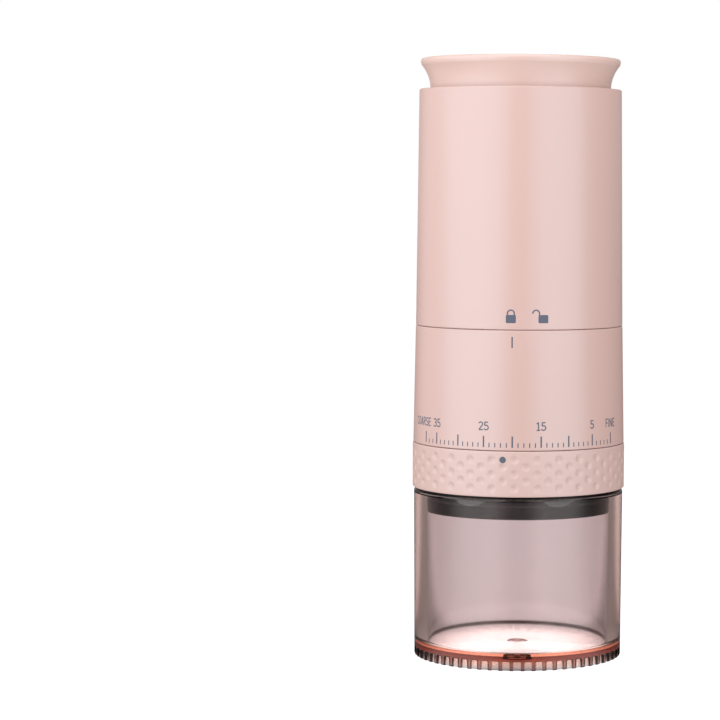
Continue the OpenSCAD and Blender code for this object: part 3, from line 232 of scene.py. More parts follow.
# a point's distance from the upright axis, and its X, Y and Z
def pointPlace(tree):
    place = tree.nodes.new("ShaderNodeTexCoord").outputs["Object"]
    apart = tree.nodes.new("ShaderNodeSeparateXYZ")
    tree.links.new(place, apart.inputs[0])
    flat = tree.nodes.new("ShaderNodeVectorMath")
    flat.operation = "MULTIPLY"
    flat.inputs[1].default_value = (1, 1, 0)
    tree.links.new(place, flat.inputs[0])
    away = tree.nodes.new("ShaderNodeVectorMath")
    away.operation = "LENGTH"
    tree.links.new(flat.outputs["Vector"], away.inputs[0])
    return away.outputs["Value"], apart.outputs


finish = {
    "cloudDetail": 2, "grainDetail": 2, "grainRoughness": 0.6, "lineRoughness": 0.7,
    "squeeze": (0.02, 0.02, 1), "stainScale": 120, "stainDepth": 0.16, "bumpStrength": 0.6,
}


# colour and height of a moulded or lacquered surface: slow cloudy drift and a fine grain
def makeMouldedSurface(f):
    tree, given, result = newGroup(
        "mouldedSurface",
        [("Colour", "NodeSocketColor", (0.8, 0.8, 0.8, 1)), ("Drift", "NodeSocketFloat", 0.04),
         ("Drift scale", "NodeSocketFloat", 30.0), ("Grain scale", "NodeSocketFloat", 2500.0),
         ("Grain", "NodeSocketFloat", 0.03), ("Roughness", "NodeSocketFloat", 0.4),
         ("Roughness drift", "NodeSocketFloat", 0.05)],
        [("Colour", "NodeSocketColor"), ("Roughness", "NodeSocketFloat"), ("Height", "NodeSocketFloat")])
    place = tree.nodes.new("ShaderNodeTexCoord").outputs["Object"]
    cloud = noiseNode(tree, place, given.outputs["Drift scale"], f["cloudDetail"])
    grain = noiseNode(tree, place, given.outputs["Grain scale"], f["grainDetail"], f["grainRoughness"])
    drift = swing(tree, cloud, given.outputs["Drift"])
    fleck = swing(tree, grain, given.outputs["Grain"])
    level = mathNode(tree, "ADD", mathNode(tree, "ADD", drift, fleck), 1.0)
    tree.links.new(shaded(tree, given.outputs["Colour"], level), result.inputs["Colour"])
    rough = swing(tree, cloud, given.outputs["Roughness drift"])
    tree.links.new(mathNode(tree, "ADD", given.outputs["Roughness"], rough), result.inputs["Roughness"])
    tree.links.new(grain, result.inputs["Height"])
    return tree


# brushed or turned metal: rings of fine lines about the vertical axis, and a mask of them
def makeTurnedMetal(f):
    tree, given, result = newGroup(
        "turnedMetal",
        [("Colour", "NodeSocketColor", (0.6, 0.6, 0.6, 1)), ("Line scale", "NodeSocketFloat", 900.0),
         ("Line depth", "NodeSocketFloat", 0.12), ("Roughness", "NodeSocketFloat", 0.3)],
        [("Colour", "NodeSocketColor"), ("Roughness", "NodeSocketFloat"), ("Height", "NodeSocketFloat")])
    place = tree.nodes.new("ShaderNodeTexCoord").outputs["Object"]
    stretch = tree.nodes.new("ShaderNodeMapping")
    stretch.inputs["Scale"].default_value = f["squeeze"]
    tree.links.new(place, stretch.inputs["Vector"])
    pulled, lineScale = stretch.outputs[0], given.outputs["Line scale"]
    lines = noiseNode(tree, pulled, lineScale, f["grainDetail"], f["lineRoughness"])
    stain = noiseNode(tree, place, f["stainScale"], f["cloudDetail"])
    level = mathNode(tree, "ADD", 1.0, swing(tree, lines, given.outputs["Line depth"]))
    tree.links.new(shaded(tree, given.outputs["Colour"], level), result.inputs["Colour"])
    rough = mathNode(tree, "ADD", given.outputs["Roughness"], swing(tree, stain, f["stainDepth"]))
    tree.links.new(rough, result.inputs["Roughness"])
    tree.links.new(lines, result.inputs["Height"])
    return tree


mouldedSurface = makeMouldedSurface(finish)
turnedMetal = makeTurnedMetal(finish)


def newMaterial(name, settings):
    material = bpy.data.materials.new(name)
    material.use_nodes = True
    shader = material.node_tree.nodes["Principled BSDF"]
    for socketName, value in settings.items():
        shader.inputs[socketName].default_value = value
    return material, material.node_tree, shader


# a material from one of the two groups; bump is the depth of its grain in metres
def surfaced(name, group, values, bump, settings):
    material, tree, shader = newMaterial(name, settings)
    surface = tree.nodes.new("ShaderNodeGroup")
    surface.node_tree = group
    for socketName, value in values.items():
        surface.inputs[socketName].default_value = (*value, 1) if isinstance(value, tuple) else value
    tree.links.new(surface.outputs["Colour"], shader.inputs["Base Color"])
    tree.links.new(surface.outputs["Roughness"], shader.inputs["Roughness"])
    relief = tree.nodes.new("ShaderNodeBump")
    relief.inputs["Distance"].default_value = bump
    relief.inputs["Strength"].default_value = finish["bumpStrength"]
    tree.links.new(surface.outputs["Height"], relief.inputs["Height"])
    tree.links.new(relief.outputs["Normal"], shader.inputs["Normal"])
    return material


def plastic(name, colour, roughness=0.4, coat=0.0, grain=0.04, bump=0.004 * mm, **settings):
    values = {"Colour": colour, "Roughness": roughness, "Grain": grain}
    return surfaced(name, mouldedSurface, values, bump, {"Coat Weight": coat, **settings})


def metal(name, colour, roughness=0.3, lineDepth=0.12, bump=0.003 * mm, **settings):
    values = {"Colour": colour, "Roughness": roughness, "Line depth": lineDepth}
    return surfaced(name, turnedMetal, values, bump, {"Metallic": 1.0, **settings})


pearl = {"IOR": 1.6, "Specular IOR Level": 1.0, "Specular Tint": (0.36, 0.62, 0.75, 1)}
shellPink = plastic("shellPink", (0.55, 0.365, 0.325), 0.33, 0.0, 0.03, 0.003 * mm, **pearl)
ringPink = plastic("ringPink", (0.56, 0.38, 0.338), 0.42, 0.0, 0.05, 0.006 * mm, **pearl)
capPink = plastic("capPink", (0.615, 0.425, 0.374), 0.4, 0.0, 0.05, 0.006 * mm, **pearl)
collarBlack = plastic("collarBlack", (0.004, 0.004, 0.0045), 0.3, 0.0, 0.04, 0.0005 * mm,
                      **{"Specular IOR Level": 0.15})
innerBlack = plastic("innerBlack", (0.022, 0.021, 0.021), 0.42)
hopperDark = plastic("hopperDark", (0.035, 0.032, 0.03), 0.36)
sealBlack = plastic("sealBlack", (0.015, 0.015, 0.016), 0.55, 0.0, 0.08)
acetalWhite = plastic("acetalWhite", (0.72, 0.71, 0.67), 0.38)
nylonCream = plastic("nylonCream", (0.78, 0.73, 0.6), 0.42)
inkSlate = plastic("inkSlate", (0.075, 0.088, 0.125), 0.55, 0.0, 0.12, 0.002 * mm)
boardGreen = plastic("boardGreen", (0.02, 0.13, 0.07), 0.3, 0.5, 0.2)
cellSleeve = plastic("cellSleeve", (0.06, 0.22, 0.36), 0.22, 0.4)
leadRed = plastic("leadRed", (0.45, 0.02, 0.02), 0.35)
screwSteel = metal("screwSteel", (0.58, 0.58, 0.6), 0.32)
shaftSteel = metal("shaftSteel", (0.52, 0.52, 0.54), 0.28, 0.2)
burrSteel = metal("burrSteel", (0.44, 0.44, 0.45), 0.34, 0.3)
ballSteel = metal("ballSteel", (0.7, 0.7, 0.72), 0.08, 0.02)
turnedBrass = metal("turnedBrass", (0.72, 0.52, 0.25), 0.3, 0.2)
ferriteGrey = plastic("ferriteGrey", (0.05, 0.05, 0.055), 0.6, 0.0, 0.2)
windingCopper = metal("windingCopper", (0.62, 0.24, 0.09), 0.35, 0.4)
nickelStrip = metal("nickelStrip", (0.6, 0.58, 0.54), 0.35, 0.2)
print("materials ready")


# clear plastic: "kept" is what its depth lets through, the other colours tint its faces: the plain walls and
# floor, and painted shade on the band round the foot, on the ribs below it and on the small recess underneath
clear = {
    "ior": 1.49, "kept": (0.645, 0.194, 0.0), "density": 62.0, "roughness": 0.015, "roughnessDrift": 0.01,
    "plain": (0.706, 0.694, 0.738), "bandShade": (0.019, 0.0038, 0.0034), "notchShade": (0.02, 0.008, 0.007),
    "notchTop": 3.1 * mm, "footTop": 5.0 * mm, "footIn": 31.6 * mm, "footOut": 33.2 * mm, "blend": 0.3 * mm,
    "gate": (0.5, 0.24, 0.17), "gateOut": 2.7 * mm,
}


def footShaded(c):
    material, tree, shader = newMaterial("clearRose", {"Transmission Weight": 1.0, "IOR": c["ior"]})
    surface = tree.nodes.new("ShaderNodeGroup")
    surface.node_tree = mouldedSurface
    surface.inputs["Roughness"].default_value = c["roughness"]
    surface.inputs["Roughness drift"].default_value = c["roughnessDrift"]
    away, along = pointPlace(tree)
    # the foot below the notch tops and the band above them get dark tints: painted shade for the light lost
    # inside the foot
    outside = ramp(tree, away, c["footIn"], c["footOut"])
    above = ramp(tree, along["Z"], c["footTop"] - c["blend"], c["footTop"])
    share = mathNode(tree, "MULTIPLY", outside, mathNode(tree, "SUBTRACT", 1.0, above))
    lower = ramp(tree, along["Z"], c["notchTop"] - c["blend"] / 2, c["notchTop"] + c["blend"] / 2)
    foot = mixColour(tree, lower, c["notchShade"], c["bandShade"])
    below = mathNode(tree, "LESS_THAN", along["Z"], c["notchTop"])
    # the small recess underneath gets a darker tint: painted shade
    gateShadeMask = mathNode(tree, "MULTIPLY", below, mathNode(tree, "LESS_THAN", away, c["gateOut"]))
    middle = mixColour(tree, gateShadeMask, c["plain"], c["gate"])
    tree.links.new(mixColour(tree, share, middle, foot), shader.inputs["Base Color"])
    tree.links.new(surface.outputs["Roughness"], shader.inputs["Roughness"])
    depth = tree.nodes.new("ShaderNodeVolumeAbsorption")
    depth.inputs["Color"].default_value = (*c["kept"], 1)
    depth.inputs["Density"].default_value = c["density"]
    tree.links.new(depth.outputs["Volume"], tree.nodes["Material Output"].inputs["Volume"])
    return material


clearRose = footShaded(clear)
lightWhite = plastic("lightWhite", (0.86, 0.87, 0.88), 0.45, 0.0, 0.02)
buttonRose = metal("buttonRose", (0.78, 0.55, 0.47), 0.3, 0.08)
print("clear materials ready")


# the jar: one thick clear wall with a bevelled mouth, a deep floor and a notched foot
jar = {
    "outer": 34.5, "foot": 34.2, "inner": 30.3, "draft": 0.5, "height": 55.2, "floor": 5.0, "bevel": 1.2,
    "edge": 0.6, "notches": 60, "notchWidth": 2.4, "notchHeight": 3.1, "notchCorner": 0.4, "notchDepth": 1.3,
    "bevelShare": 0.6, "lipStep": 0.05, "lipFall": 0.2, "corner": 1.2, "gate": 3.1, "gateDepth": 1.5,
    "gateEdge": 0.5, "gateNub": 1.2, "nubLow": 0.25, "nubEdge": 0.3, "nubFillet": 0.2, "overrun": 1,
}


def jarOutline(j):
    footIn, corner = j["inner"] - j["draft"], j["corner"]
    gate, gateTop, gateEdge = j["gate"], j["gateDepth"], j["gateEdge"]
    nub, nubEdge, fillet = j["gateNub"], j["nubEdge"], j["nubFillet"]
    outline = [(0, j["nubLow"]), (nub - nubEdge, j["nubLow"])]
    outline += arc((nub - nubEdge, j["nubLow"] + nubEdge), nubEdge, -90, 0, 5)
    outline += [(nub, gateTop - fillet), (nub + fillet, gateTop), (gate - gateEdge, gateTop)]
    outline += arc((gate - gateEdge, gateTop - gateEdge), gateEdge, 90, 0, 6)
    outline += [(gate, nubEdge), (gate + nubEdge, 0)]
    outline += arc((j["foot"] - j["edge"], j["edge"]), j["edge"], -90, 0, 8)
    outline += arc((j["outer"] - j["edge"], j["height"] - j["edge"]), j["edge"], 0, 90, 8)
    mouth = j["height"] - j["bevel"]
    outline += [(j["inner"] + j["bevel"] * j["bevelShare"], j["height"]), (j["inner"] + j["lipStep"], mouth)]
    outline += [(j["inner"], mouth - j["lipFall"])]
    outline += arc((footIn - corner, j["floor"] + corner), corner, 0, -90, 12)
    outline += [(0, j["floor"])]
    return [(r * mm, z * mm) for r, z in outline]


# cutter bodies for the foot: a flat-topped slot with small round corners at each notch
def notchCutters(j):
    form = bmesh.new()
    half, top, corner = j["notchWidth"] / 2, j["notchHeight"], j["notchCorner"]
    profile = [(-half, -j["overrun"]), (half, -j["overrun"])]
    profile += arc((half - corner, top - corner), corner, 0, 90, 4)
    profile += arc((corner - half, top - corner), corner, 90, 180, 4)
    for i in range(j["notches"]):
        turn = Matrix.Rotation(2 * math.pi * i / j["notches"], 4, "Z")
        sides = []
        for depth in (j["foot"] - j["notchDepth"], j["outer"] + j["overrun"]):
            sides.append([form.verts.new(turn @ Vector((x * mm, -depth * mm, z * mm))) for x, z in profile])
        closeRings(form, sides)
    return linked("notchCutters", meshFrom("notchCutters", form))


# runs a piece's modifiers and keeps the result as its plain mesh
def settled(piece, name):
    plain = bpy.data.meshes.new_from_object(piece.evaluated_get(bpy.context.evaluated_depsgraph_get()))
    plain.name = name
    piece.modifiers.clear()
    piece.data = plain
    return piece


def cutAway(piece, cutter):
    cut = piece.modifiers.new("cut", "BOOLEAN")
    cut.object, cut.operation, cut.solver = cutter, "DIFFERENCE", "EXACT"
    settled(piece, piece.name + "Cut")
    bpy.data.objects.remove(cutter)
    smoothByAngle(piece.data)


jarPiece = linked("jarGlass", lathe("jarGlass", jarOutline(jar)), clearRose)
cutAway(jarPiece, notchCutters(jar))
dressed(jarPiece, "jar", "clear_rose", "jar")
print("jar:", len(jarPiece.data.polygons), "faces")


# the fixed body of the mill, open at the top for the lock
mill = {
    "sleeve": 24.7, "low": 70.85, "lowRadius": 34.8, "top": 109.2, "topRadius": 34.1, "bore": 31.9,
    "floor": 73.0, "edge": 0.35, "chamfer": 0.3,
}


def millOutline(m):
    edge = m["edge"]
    outline = [(m["sleeve"], m["low"])]
    outline += arc((m["lowRadius"] - edge, m["low"] + edge), edge, -90, 0, 6)
    outline += arc((m["topRadius"] - edge, m["top"] - edge), edge, 0, 90, 6)
    outline += [(m["bore"] + m["chamfer"], m["top"]), (m["bore"], m["top"] - m["chamfer"])]
    outline += [(m["bore"], m["floor"]), (m["sleeve"], m["floor"])]
    return [(r * mm, z * mm) for r, z in outline]


midPiece = linked("millShell", lathe("millShell", millOutline(mill)), shellPink)
dressed(midPiece, "mill", "pink_shell", "mid_shell")

# the motor host's shell, a little narrower upwards
host = {
    "low": 109.32, "lowRadius": 34.05, "top": 186.5, "topRadius": 33.2, "bore": 31.2, "shoulder": 184.7,
    "spigot": 26.05, "edge": 0.4, "chamfer": 0.3, "portHeight": 180.85, "portWidth": 9.5, "portTall": 3.7,
    "portFrom": 29, "portTo": 36,
}


def hostOutline(h):
    edge = h["edge"]
    outline = [(h["bore"], h["low"] + h["chamfer"]), (h["bore"] + h["chamfer"], h["low"])]
    outline += arc((h["lowRadius"] - edge, h["low"] + edge), edge, -90, 0, 6)
    outline += arc((h["topRadius"] - edge, h["top"] - edge), edge, 0, 90, 6)
    outline += [(h["spigot"], h["top"]), (h["spigot"], h["shoulder"]), (h["bore"], h["shoulder"])]
    return [(r * mm, z * mm) for r, z in outline]


# a slot with round ends, along Y, that opens the charging socket
def portCutter(h):
    form = bmesh.new()
    radius, flat = h["portTall"] / 2, (h["portWidth"] - h["portTall"]) / 2
    profile = arc((flat, h["portHeight"]), radius, -90, 90, 12)
    profile += arc((-flat, h["portHeight"]), radius, 90, 270, 12)
    sides = []
    for y in (h["portFrom"], h["portTo"]):
        sides.append([form.verts.new((x * mm, y * mm, z * mm)) for x, z in profile])
    closeRings(form, sides)
    return linked("portCutter", meshFrom("portCutter", form))


hostPiece = linked("hostShell", lathe("hostShell", hostOutline(host)), shellPink)
cutAway(hostPiece, portCutter(host))
dressed(hostPiece, "host", "pink_shell", "host_shell")
print("mill and host shells ready")

# the flared cap with its bright lip, the dish in it, the light ring and the button
cap = {
    "spigot": 26.0, "under": 183.65, "wall": 2.2, "joint": 186.55, "neck": 29.6, "flare": 12.0, "rim": 32.8,
    "lip": 0.9, "lipFrom": -20, "lipTo": 100, "top": 196.5, "dish": 190.3, "dishUnder": 188.5, "corner": 3.1,
    "hole": 11.35, "holeEdge": 0.25, "chamfer": 0.3,
}


def capOutline(c):
    flareAt = (c["neck"] + c["flare"], c["joint"])
    lipAt = (c["rim"] - c["lip"], c["top"] - c["lip"])
    turn = math.degrees(math.acos((flareAt[0] - c["rim"] + c["lip"] / 4) / c["flare"]))
    inner = c["spigot"] - c["wall"]
    outline = [(c["hole"], c["dishUnder"]), (inner, c["dishUnder"]), (inner, c["under"])]
    outline += [(c["spigot"] - c["chamfer"], c["under"]), (c["spigot"], c["under"] + c["chamfer"])]
    outline += [(c["spigot"], c["joint"]), (c["neck"], c["joint"])]
    outline += arc(flareAt, c["flare"], 180, 180 - turn, 24)
    outline += arc(lipAt, c["lip"], c["lipFrom"], c["lipTo"], 14)
    dishOut = c["neck"] - c["wall"] - c["corner"]
    outline += arc((dishOut, c["dish"] + c["corner"]), c["corner"], 0, -90, 14)
    outline += [(c["hole"] + c["holeEdge"], c["dish"]), (c["hole"], c["dish"] - c["holeEdge"])]
    return [(r * mm, z * mm) for r, z in outline]


capPiece = linked("topCap", lathe("topCap", capOutline(cap)), capPink)
dressed(capPiece, "host", "pink_cap", "top_cap")

lightRing = {"outer": 11.3, "inner": 9.3, "low": 188.5, "top": 190.3, "edge": 0.2, "steps": 180}


def lightRingOutline(g):
    edge = g["edge"]
    outline = [(g["inner"], g["low"]), (g["outer"], g["low"])]
    outline += arc((g["outer"] - edge, g["top"] - edge), edge, 0, 90, 4)
    outline += arc((g["inner"] + edge, g["top"] - edge), edge, 90, 180, 4)
    return [(r * mm, z * mm) for r, z in outline]


lightMesh = lathe("lightRing", lightRingOutline(lightRing), lightRing["steps"])
lightPiece = linked("lightRing", lightMesh, lightWhite)
dressed(lightPiece, "host", "light_white", "light_ring")

# the button is a flanged disc with a slightly dished top
button = {
    "radius": 9.0, "flange": 10.2, "low": 187.65, "flangeTop": 188.45, "top": 191.1, "edge": 0.4, "dish": 0.5,
    "dishSteps": 12, "steps": 180,
}


def buttonOutline(b):
    edge = b["edge"]
    span = b["radius"] - edge
    outline = [(0, b["low"]), (b["flange"], b["low"])]
    outline += [(b["flange"], b["flangeTop"]), (b["radius"], b["flangeTop"])]
    outline += arc((span, b["top"] - edge), edge, 0, 90, 6)
    for i in range(1, b["dishSteps"] + 1):
        share = 1 - i / b["dishSteps"]
        outline.append((span * share, b["top"] - b["dish"] * (1 - share ** 2)))
    return [(r * mm, z * mm) for r, z in outline]


buttonMesh = lathe("powerButton", buttonOutline(button), button["steps"])
buttonPiece = linked("powerButton", buttonMesh, buttonRose)
dressed(buttonPiece, "button", "button_metal", "power_button")
print("cap, light ring and button ready")

# the adjusting ring: rows of shallow bowls pressed into a smooth band
ring = {
    "low": 56.0, "top": 70.7, "radius": 35.0, "bore": 31.5, "edge": 0.4, "columns": 1080, "rows": 64,
    "dimples": 30, "dimpleRows": 5, "rise": 2.28, "dimple": 1.42, "depth": 0.42, "bowl": 1.15, "phase": -2.1,
    "chamfer": 0.2, "edgeSteps": 5, "sharp": 50,
}


def ringHeights(g):
    flat = np.linspace(g["low"] + g["edge"], g["top"] - g["edge"], g["rows"])
    low, edge = [], g["edge"]
    for t in np.linspace(0, math.pi / 2, g["edgeSteps"])[:-1]:
        low.append((g["radius"] - edge + edge * math.sin(t), g["low"] + edge * (1 - math.cos(t))))
    high = [(r, g["low"] + g["top"] - z) for r, z in low[::-1]]
    return low + [(g["radius"], z) for z in flat] + high


def ringMesh(g):
    outer = ringHeights(g)
    radius = np.array([r for r, z in outer])[:, None]
    height = np.array([z for r, z in outer])[:, None]
    turn = np.linspace(0, 2 * math.pi, g["columns"], endpoint=False)[None, :]
    pit = np.zeros((len(outer), g["columns"]))
    step = 2 * math.pi / g["dimples"]
    middle = (g["low"] + g["top"]) / 2
    for row in range(g["dimpleRows"]):
        level = middle + (row - (g["dimpleRows"] - 1) / 2) * g["rise"]
        shift = step / 2 * (row % 2) + math.radians(g["phase"])
        across = (turn - shift + step / 2) % step - step / 2
        away = np.sqrt((across * g["radius"]) ** 2 + (height - level) ** 2) / g["dimple"]
        pit = np.maximum(pit, np.clip(1 - away ** 2, 0, 1) ** g["bowl"])
    radius = radius - g["depth"] * pit
    inner = [(g["bore"], g["top"] - g["chamfer"]), (g["bore"], g["low"] + g["chamfer"])]
    grid = np.stack([radius * np.sin(turn), -radius * np.cos(turn), height + 0 * turn], axis=-1)
    rings = [grid]
    for r, z in inner:
        rings.append(np.stack([r * np.sin(turn), -r * np.cos(turn), z + 0 * turn], axis=-1))
    points = np.concatenate(rings).reshape(-1, 3) * mm
    count, wide = len(outer) + len(inner), g["columns"]
    a = np.arange(count)[:, None] * wide + np.arange(wide)[None, :]
    b = np.arange(count)[:, None] * wide + (np.arange(wide)[None, :] + 1) % wide
    quads = np.stack([a, b, np.roll(b, -1, 0), np.roll(a, -1, 0)], axis=-1).reshape(-1, 4)
    mesh = bpy.data.meshes.new("dialRing")
    mesh.from_pydata(points.tolist(), [], quads.tolist())
    smoothByAngle(mesh, g["sharp"])
    return mesh


ringPiece = linked("dialRing", ringMesh(ring), ringPink)
dressed(ringPiece, "adjusting_ring", "pink_ring", "dial_ring")
print("adjusting ring:", len(ringPiece.data.polygons), "faces")


# printed marks are thin plates wrapped round the body, drawn as strokes of (x, y, width)
def bodyRadius(height):
    if height < ring["top"]:
        return ring["radius"]
    shell = mill if height < mill["top"] else host
    share = (height - shell["low"]) / (shell["top"] - shell["low"])
    return shell["lowRadius"] + (shell["topRadius"] - shell["lowRadius"]) * share


def finer(stroke, step=0.35):
    fine = [stroke[0]]
    for a, b in zip(stroke, stroke[1:]):
        count = max(1, math.ceil(math.dist(a[:2], b[:2]) / step))
        fine += [tuple(p + (q - p) * i / count for p, q in zip(a, b)) for i in range(1, count + 1)]
    return fine


def strokeEdges(stroke):
    left, right = [], []
    for i, (x, y, width) in enumerate(stroke):
        before, after = stroke[max(i - 1, 0)], stroke[min(i + 1, len(stroke) - 1)]
        dx, dy = after[0] - before[0], after[1] - before[1]
        size = math.hypot(dx, dy) or 1
        left.append((x - dy / size * width / 2, y + dx / size * width / 2))
        right.append((x + dy / size * width / 2, y - dx / size * width / 2))
    return left, right


# turn is in degrees from the front towards +X, height is that of the mark's foot
def wrapStrokes(form, strokes, turn, height, proud=0.02, sunk=0.03, layer=0.001):
    for number, stroke in enumerate(strokes):
        left, right = strokeEdges(finer(stroke))
        rows = []
        for point in zip(left, right):
            corners = []
            for out in (proud + layer * number, -sunk):
                for x, y in point:
                    radius = bodyRadius(height + y) + out
                    angle = math.radians(turn) + x / radius
                    place = (radius * math.sin(angle) * mm, -radius * math.cos(angle) * mm, (height + y) * mm)
                    corners.append(form.verts.new(place))
            rows.append([corners[0], corners[1], corners[3], corners[2]])
        closeRings(form, rows)


# narrow technical capitals and figures, one unit high: how wide each is and its strokes
letters = {
    "1": (0.46, [[(0.06, 0.80), (0.25, 0.955), (0.25, 0.0)], [(0.05, 0.055), (0.43, 0.055)]]),
    "2": (0.50, [bend((0.24, 0.735), 0.2, 0.21, 165, -35) + [(0.05, 0.055)],
                 [(0.03, 0.055), (0.47, 0.055)]]),
    "3": (0.50, [bend((0.22, 0.735), 0.2, 0.21, 155, -90, 12)
                 + bend((0.22, 0.29), 0.23, 0.235, 90, -155, 14)]),
    "5": (0.50, [[(0.42, 0.945), (0.09, 0.945)], [(0.09, 0.99), (0.07, 0.52)],
                 bend((0.21, 0.32), 0.235, 0.265, 125, -155, 14)]),
    "C": (0.48, [bend((0.27, 0.5), 0.22, 0.445, 50, 310, 18)]),
    "O": (0.54, [bend((0.26, 0.5), 0.21, 0.445, 0, 360, 24)]),
    "A": (0.52, [[(0.03, 0.0), (0.255, 0.98)], [(0.48, 0.0), (0.255, 0.98)], [(0.10, 0.28), (0.41, 0.28)]]),
    "R": (0.50, [[(0.08, 0.0), (0.08, 1.0)],
                 [(0.08, 0.945), (0.22, 0.945)] + bend((0.22, 0.73), 0.21, 0.215, 90, -90, 10)
                 + [(0.08, 0.515)],
                 [(0.24, 0.5), (0.46, 0.0)]]),
    "S": (0.50, [bend((0.25, 0.735), 0.19, 0.21, 25, 270, 12)
                 + bend((0.25, 0.285), 0.21, 0.24, 90, -155, 12)]),
    "E": (0.46, [[(0.08, 0.0), (0.08, 1.0)], [(0.08, 0.945), (0.42, 0.945)], [(0.08, 0.52), (0.38, 0.52)],
                 [(0.08, 0.055), (0.42, 0.055)]]),
    "F": (0.44, [[(0.08, 0.0), (0.08, 1.0)], [(0.08, 0.945), (0.42, 0.945)], [(0.08, 0.50), (0.38, 0.50)]]),
    "I": (0.20, [[(0.10, 0.0), (0.10, 1.0)]]),
    "N": (0.56, [[(0.08, 0.0), (0.08, 1.0)], [(0.08, 0.97), (0.46, 0.03)], [(0.46, 0.0), (0.46, 1.0)]]),
}


def lettering(form, word, turn, height, tall, widen, weight, gap):
    width = sum(letters[c][0] * tall * widen for c in word) + gap * (len(word) - 1)
    x = -width / 2
    for c in word:
        advance, strokes = letters[c]
        placed = [[(x + px * tall * widen, py * tall, weight) for px, py in stroke] for stroke in strokes]
        wrapStrokes(form, placed, turn, height)
        x += advance * tall * widen + gap


# the scale and its figures on the fixed body, the lock signs on the host, the dot on the adjusting ring
scaleMarks = {
    "low": 71.9, "long": 3.6, "short": 1.45, "longWidth": 0.5, "shortWidth": 0.34, "thick": 0.05,
    "units": 38, "longEvery": 5,
    "turns": [(0, 59.0), (5, 43.0), (10, 27.5), (15, 12.0), (20, -3.25), (25, -18.7), (30, -33.9),
              (35, -49.3), (38, -59.4)],
    "figures": [("35", -49.3), ("25", -18.7), ("15", 12.0), ("5", 43.0)],
    "figureLow": 77.3, "figureTall": 2.75, "weight": 0.38, "widen": 1.16, "gap": 0.28,
    "words": [("COARSE", -63.2, 1.15), ("FINE", 59.0, 1.2)], "wordWeight": 0.36, "wordGap": 0.14,
    "index": -3.7, "indexLow": 103.6, "indexTall": 3.55, "indexWidth": 0.45,
    "closed": -4.5, "open": 12.1, "lockLow": 111.5, "lockWidth": 3.2, "lockTall": 2.6, "lockWeight": 0.45,
    "lockCorner": 0.35, "bowShare": 0.34, "bowRise": 0.45, "bowSunk": 0.2, "openBow": -1.8, "openBody": 0.55,
    "dot": -8.2, "dotHeight": 68.0, "dotRadius": 1.05,
}


def unitTurn(unit, turns):
    for (a, low), (b, high) in zip(turns, turns[1:]):
        if a <= unit <= b:
            return low + (high - low) * (unit - a) / (b - a)


def discStroke(radius, steps=16, thin=0.02):
    turns = [math.pi * i / steps for i in range(steps + 1)]
    return [(-radius * math.cos(t), 0, max(2 * radius * math.sin(t), thin)) for t in turns]


def slabStroke(width, tall, corner, middle=0.0):
    half, ends = width / 2, [0, 0.3, 0.7, 1]
    left = []
    for e in ends:
        left.append((middle - half + corner * e, tall - 2 * corner * (1 - math.sqrt(1 - (1 - e) ** 2))))
    right = [(2 * middle - x, w) for x, w in left[::-1]]
    return [(x, tall / 2, w) for x, w in left + right]


# the bow of the open lock stands to the left, and only its right leg comes down to the body
def padlock(form, s, turn, isOpen):
    tall, weight, reach = s["lockTall"], s["lockWeight"], s["lockWidth"] * s["bowShare"]
    bowAt, bodyAt = (s["openBow"], s["openBody"]) if isOpen else (0.0, 0.0)
    bow = [(x, y, weight) for x, y in bend((bowAt, tall + s["bowRise"]), reach, reach, 180, 0, 16)]
    bow.append((bowAt + reach, tall - s["bowSunk"], weight))
    if not isOpen:
        bow.insert(0, (bowAt - reach, tall - s["bowSunk"], weight))
    body = slabStroke(s["lockWidth"], tall, s["lockCorner"], bodyAt)
    wrapStrokes(form, [bow, body], turn, s["lockLow"])


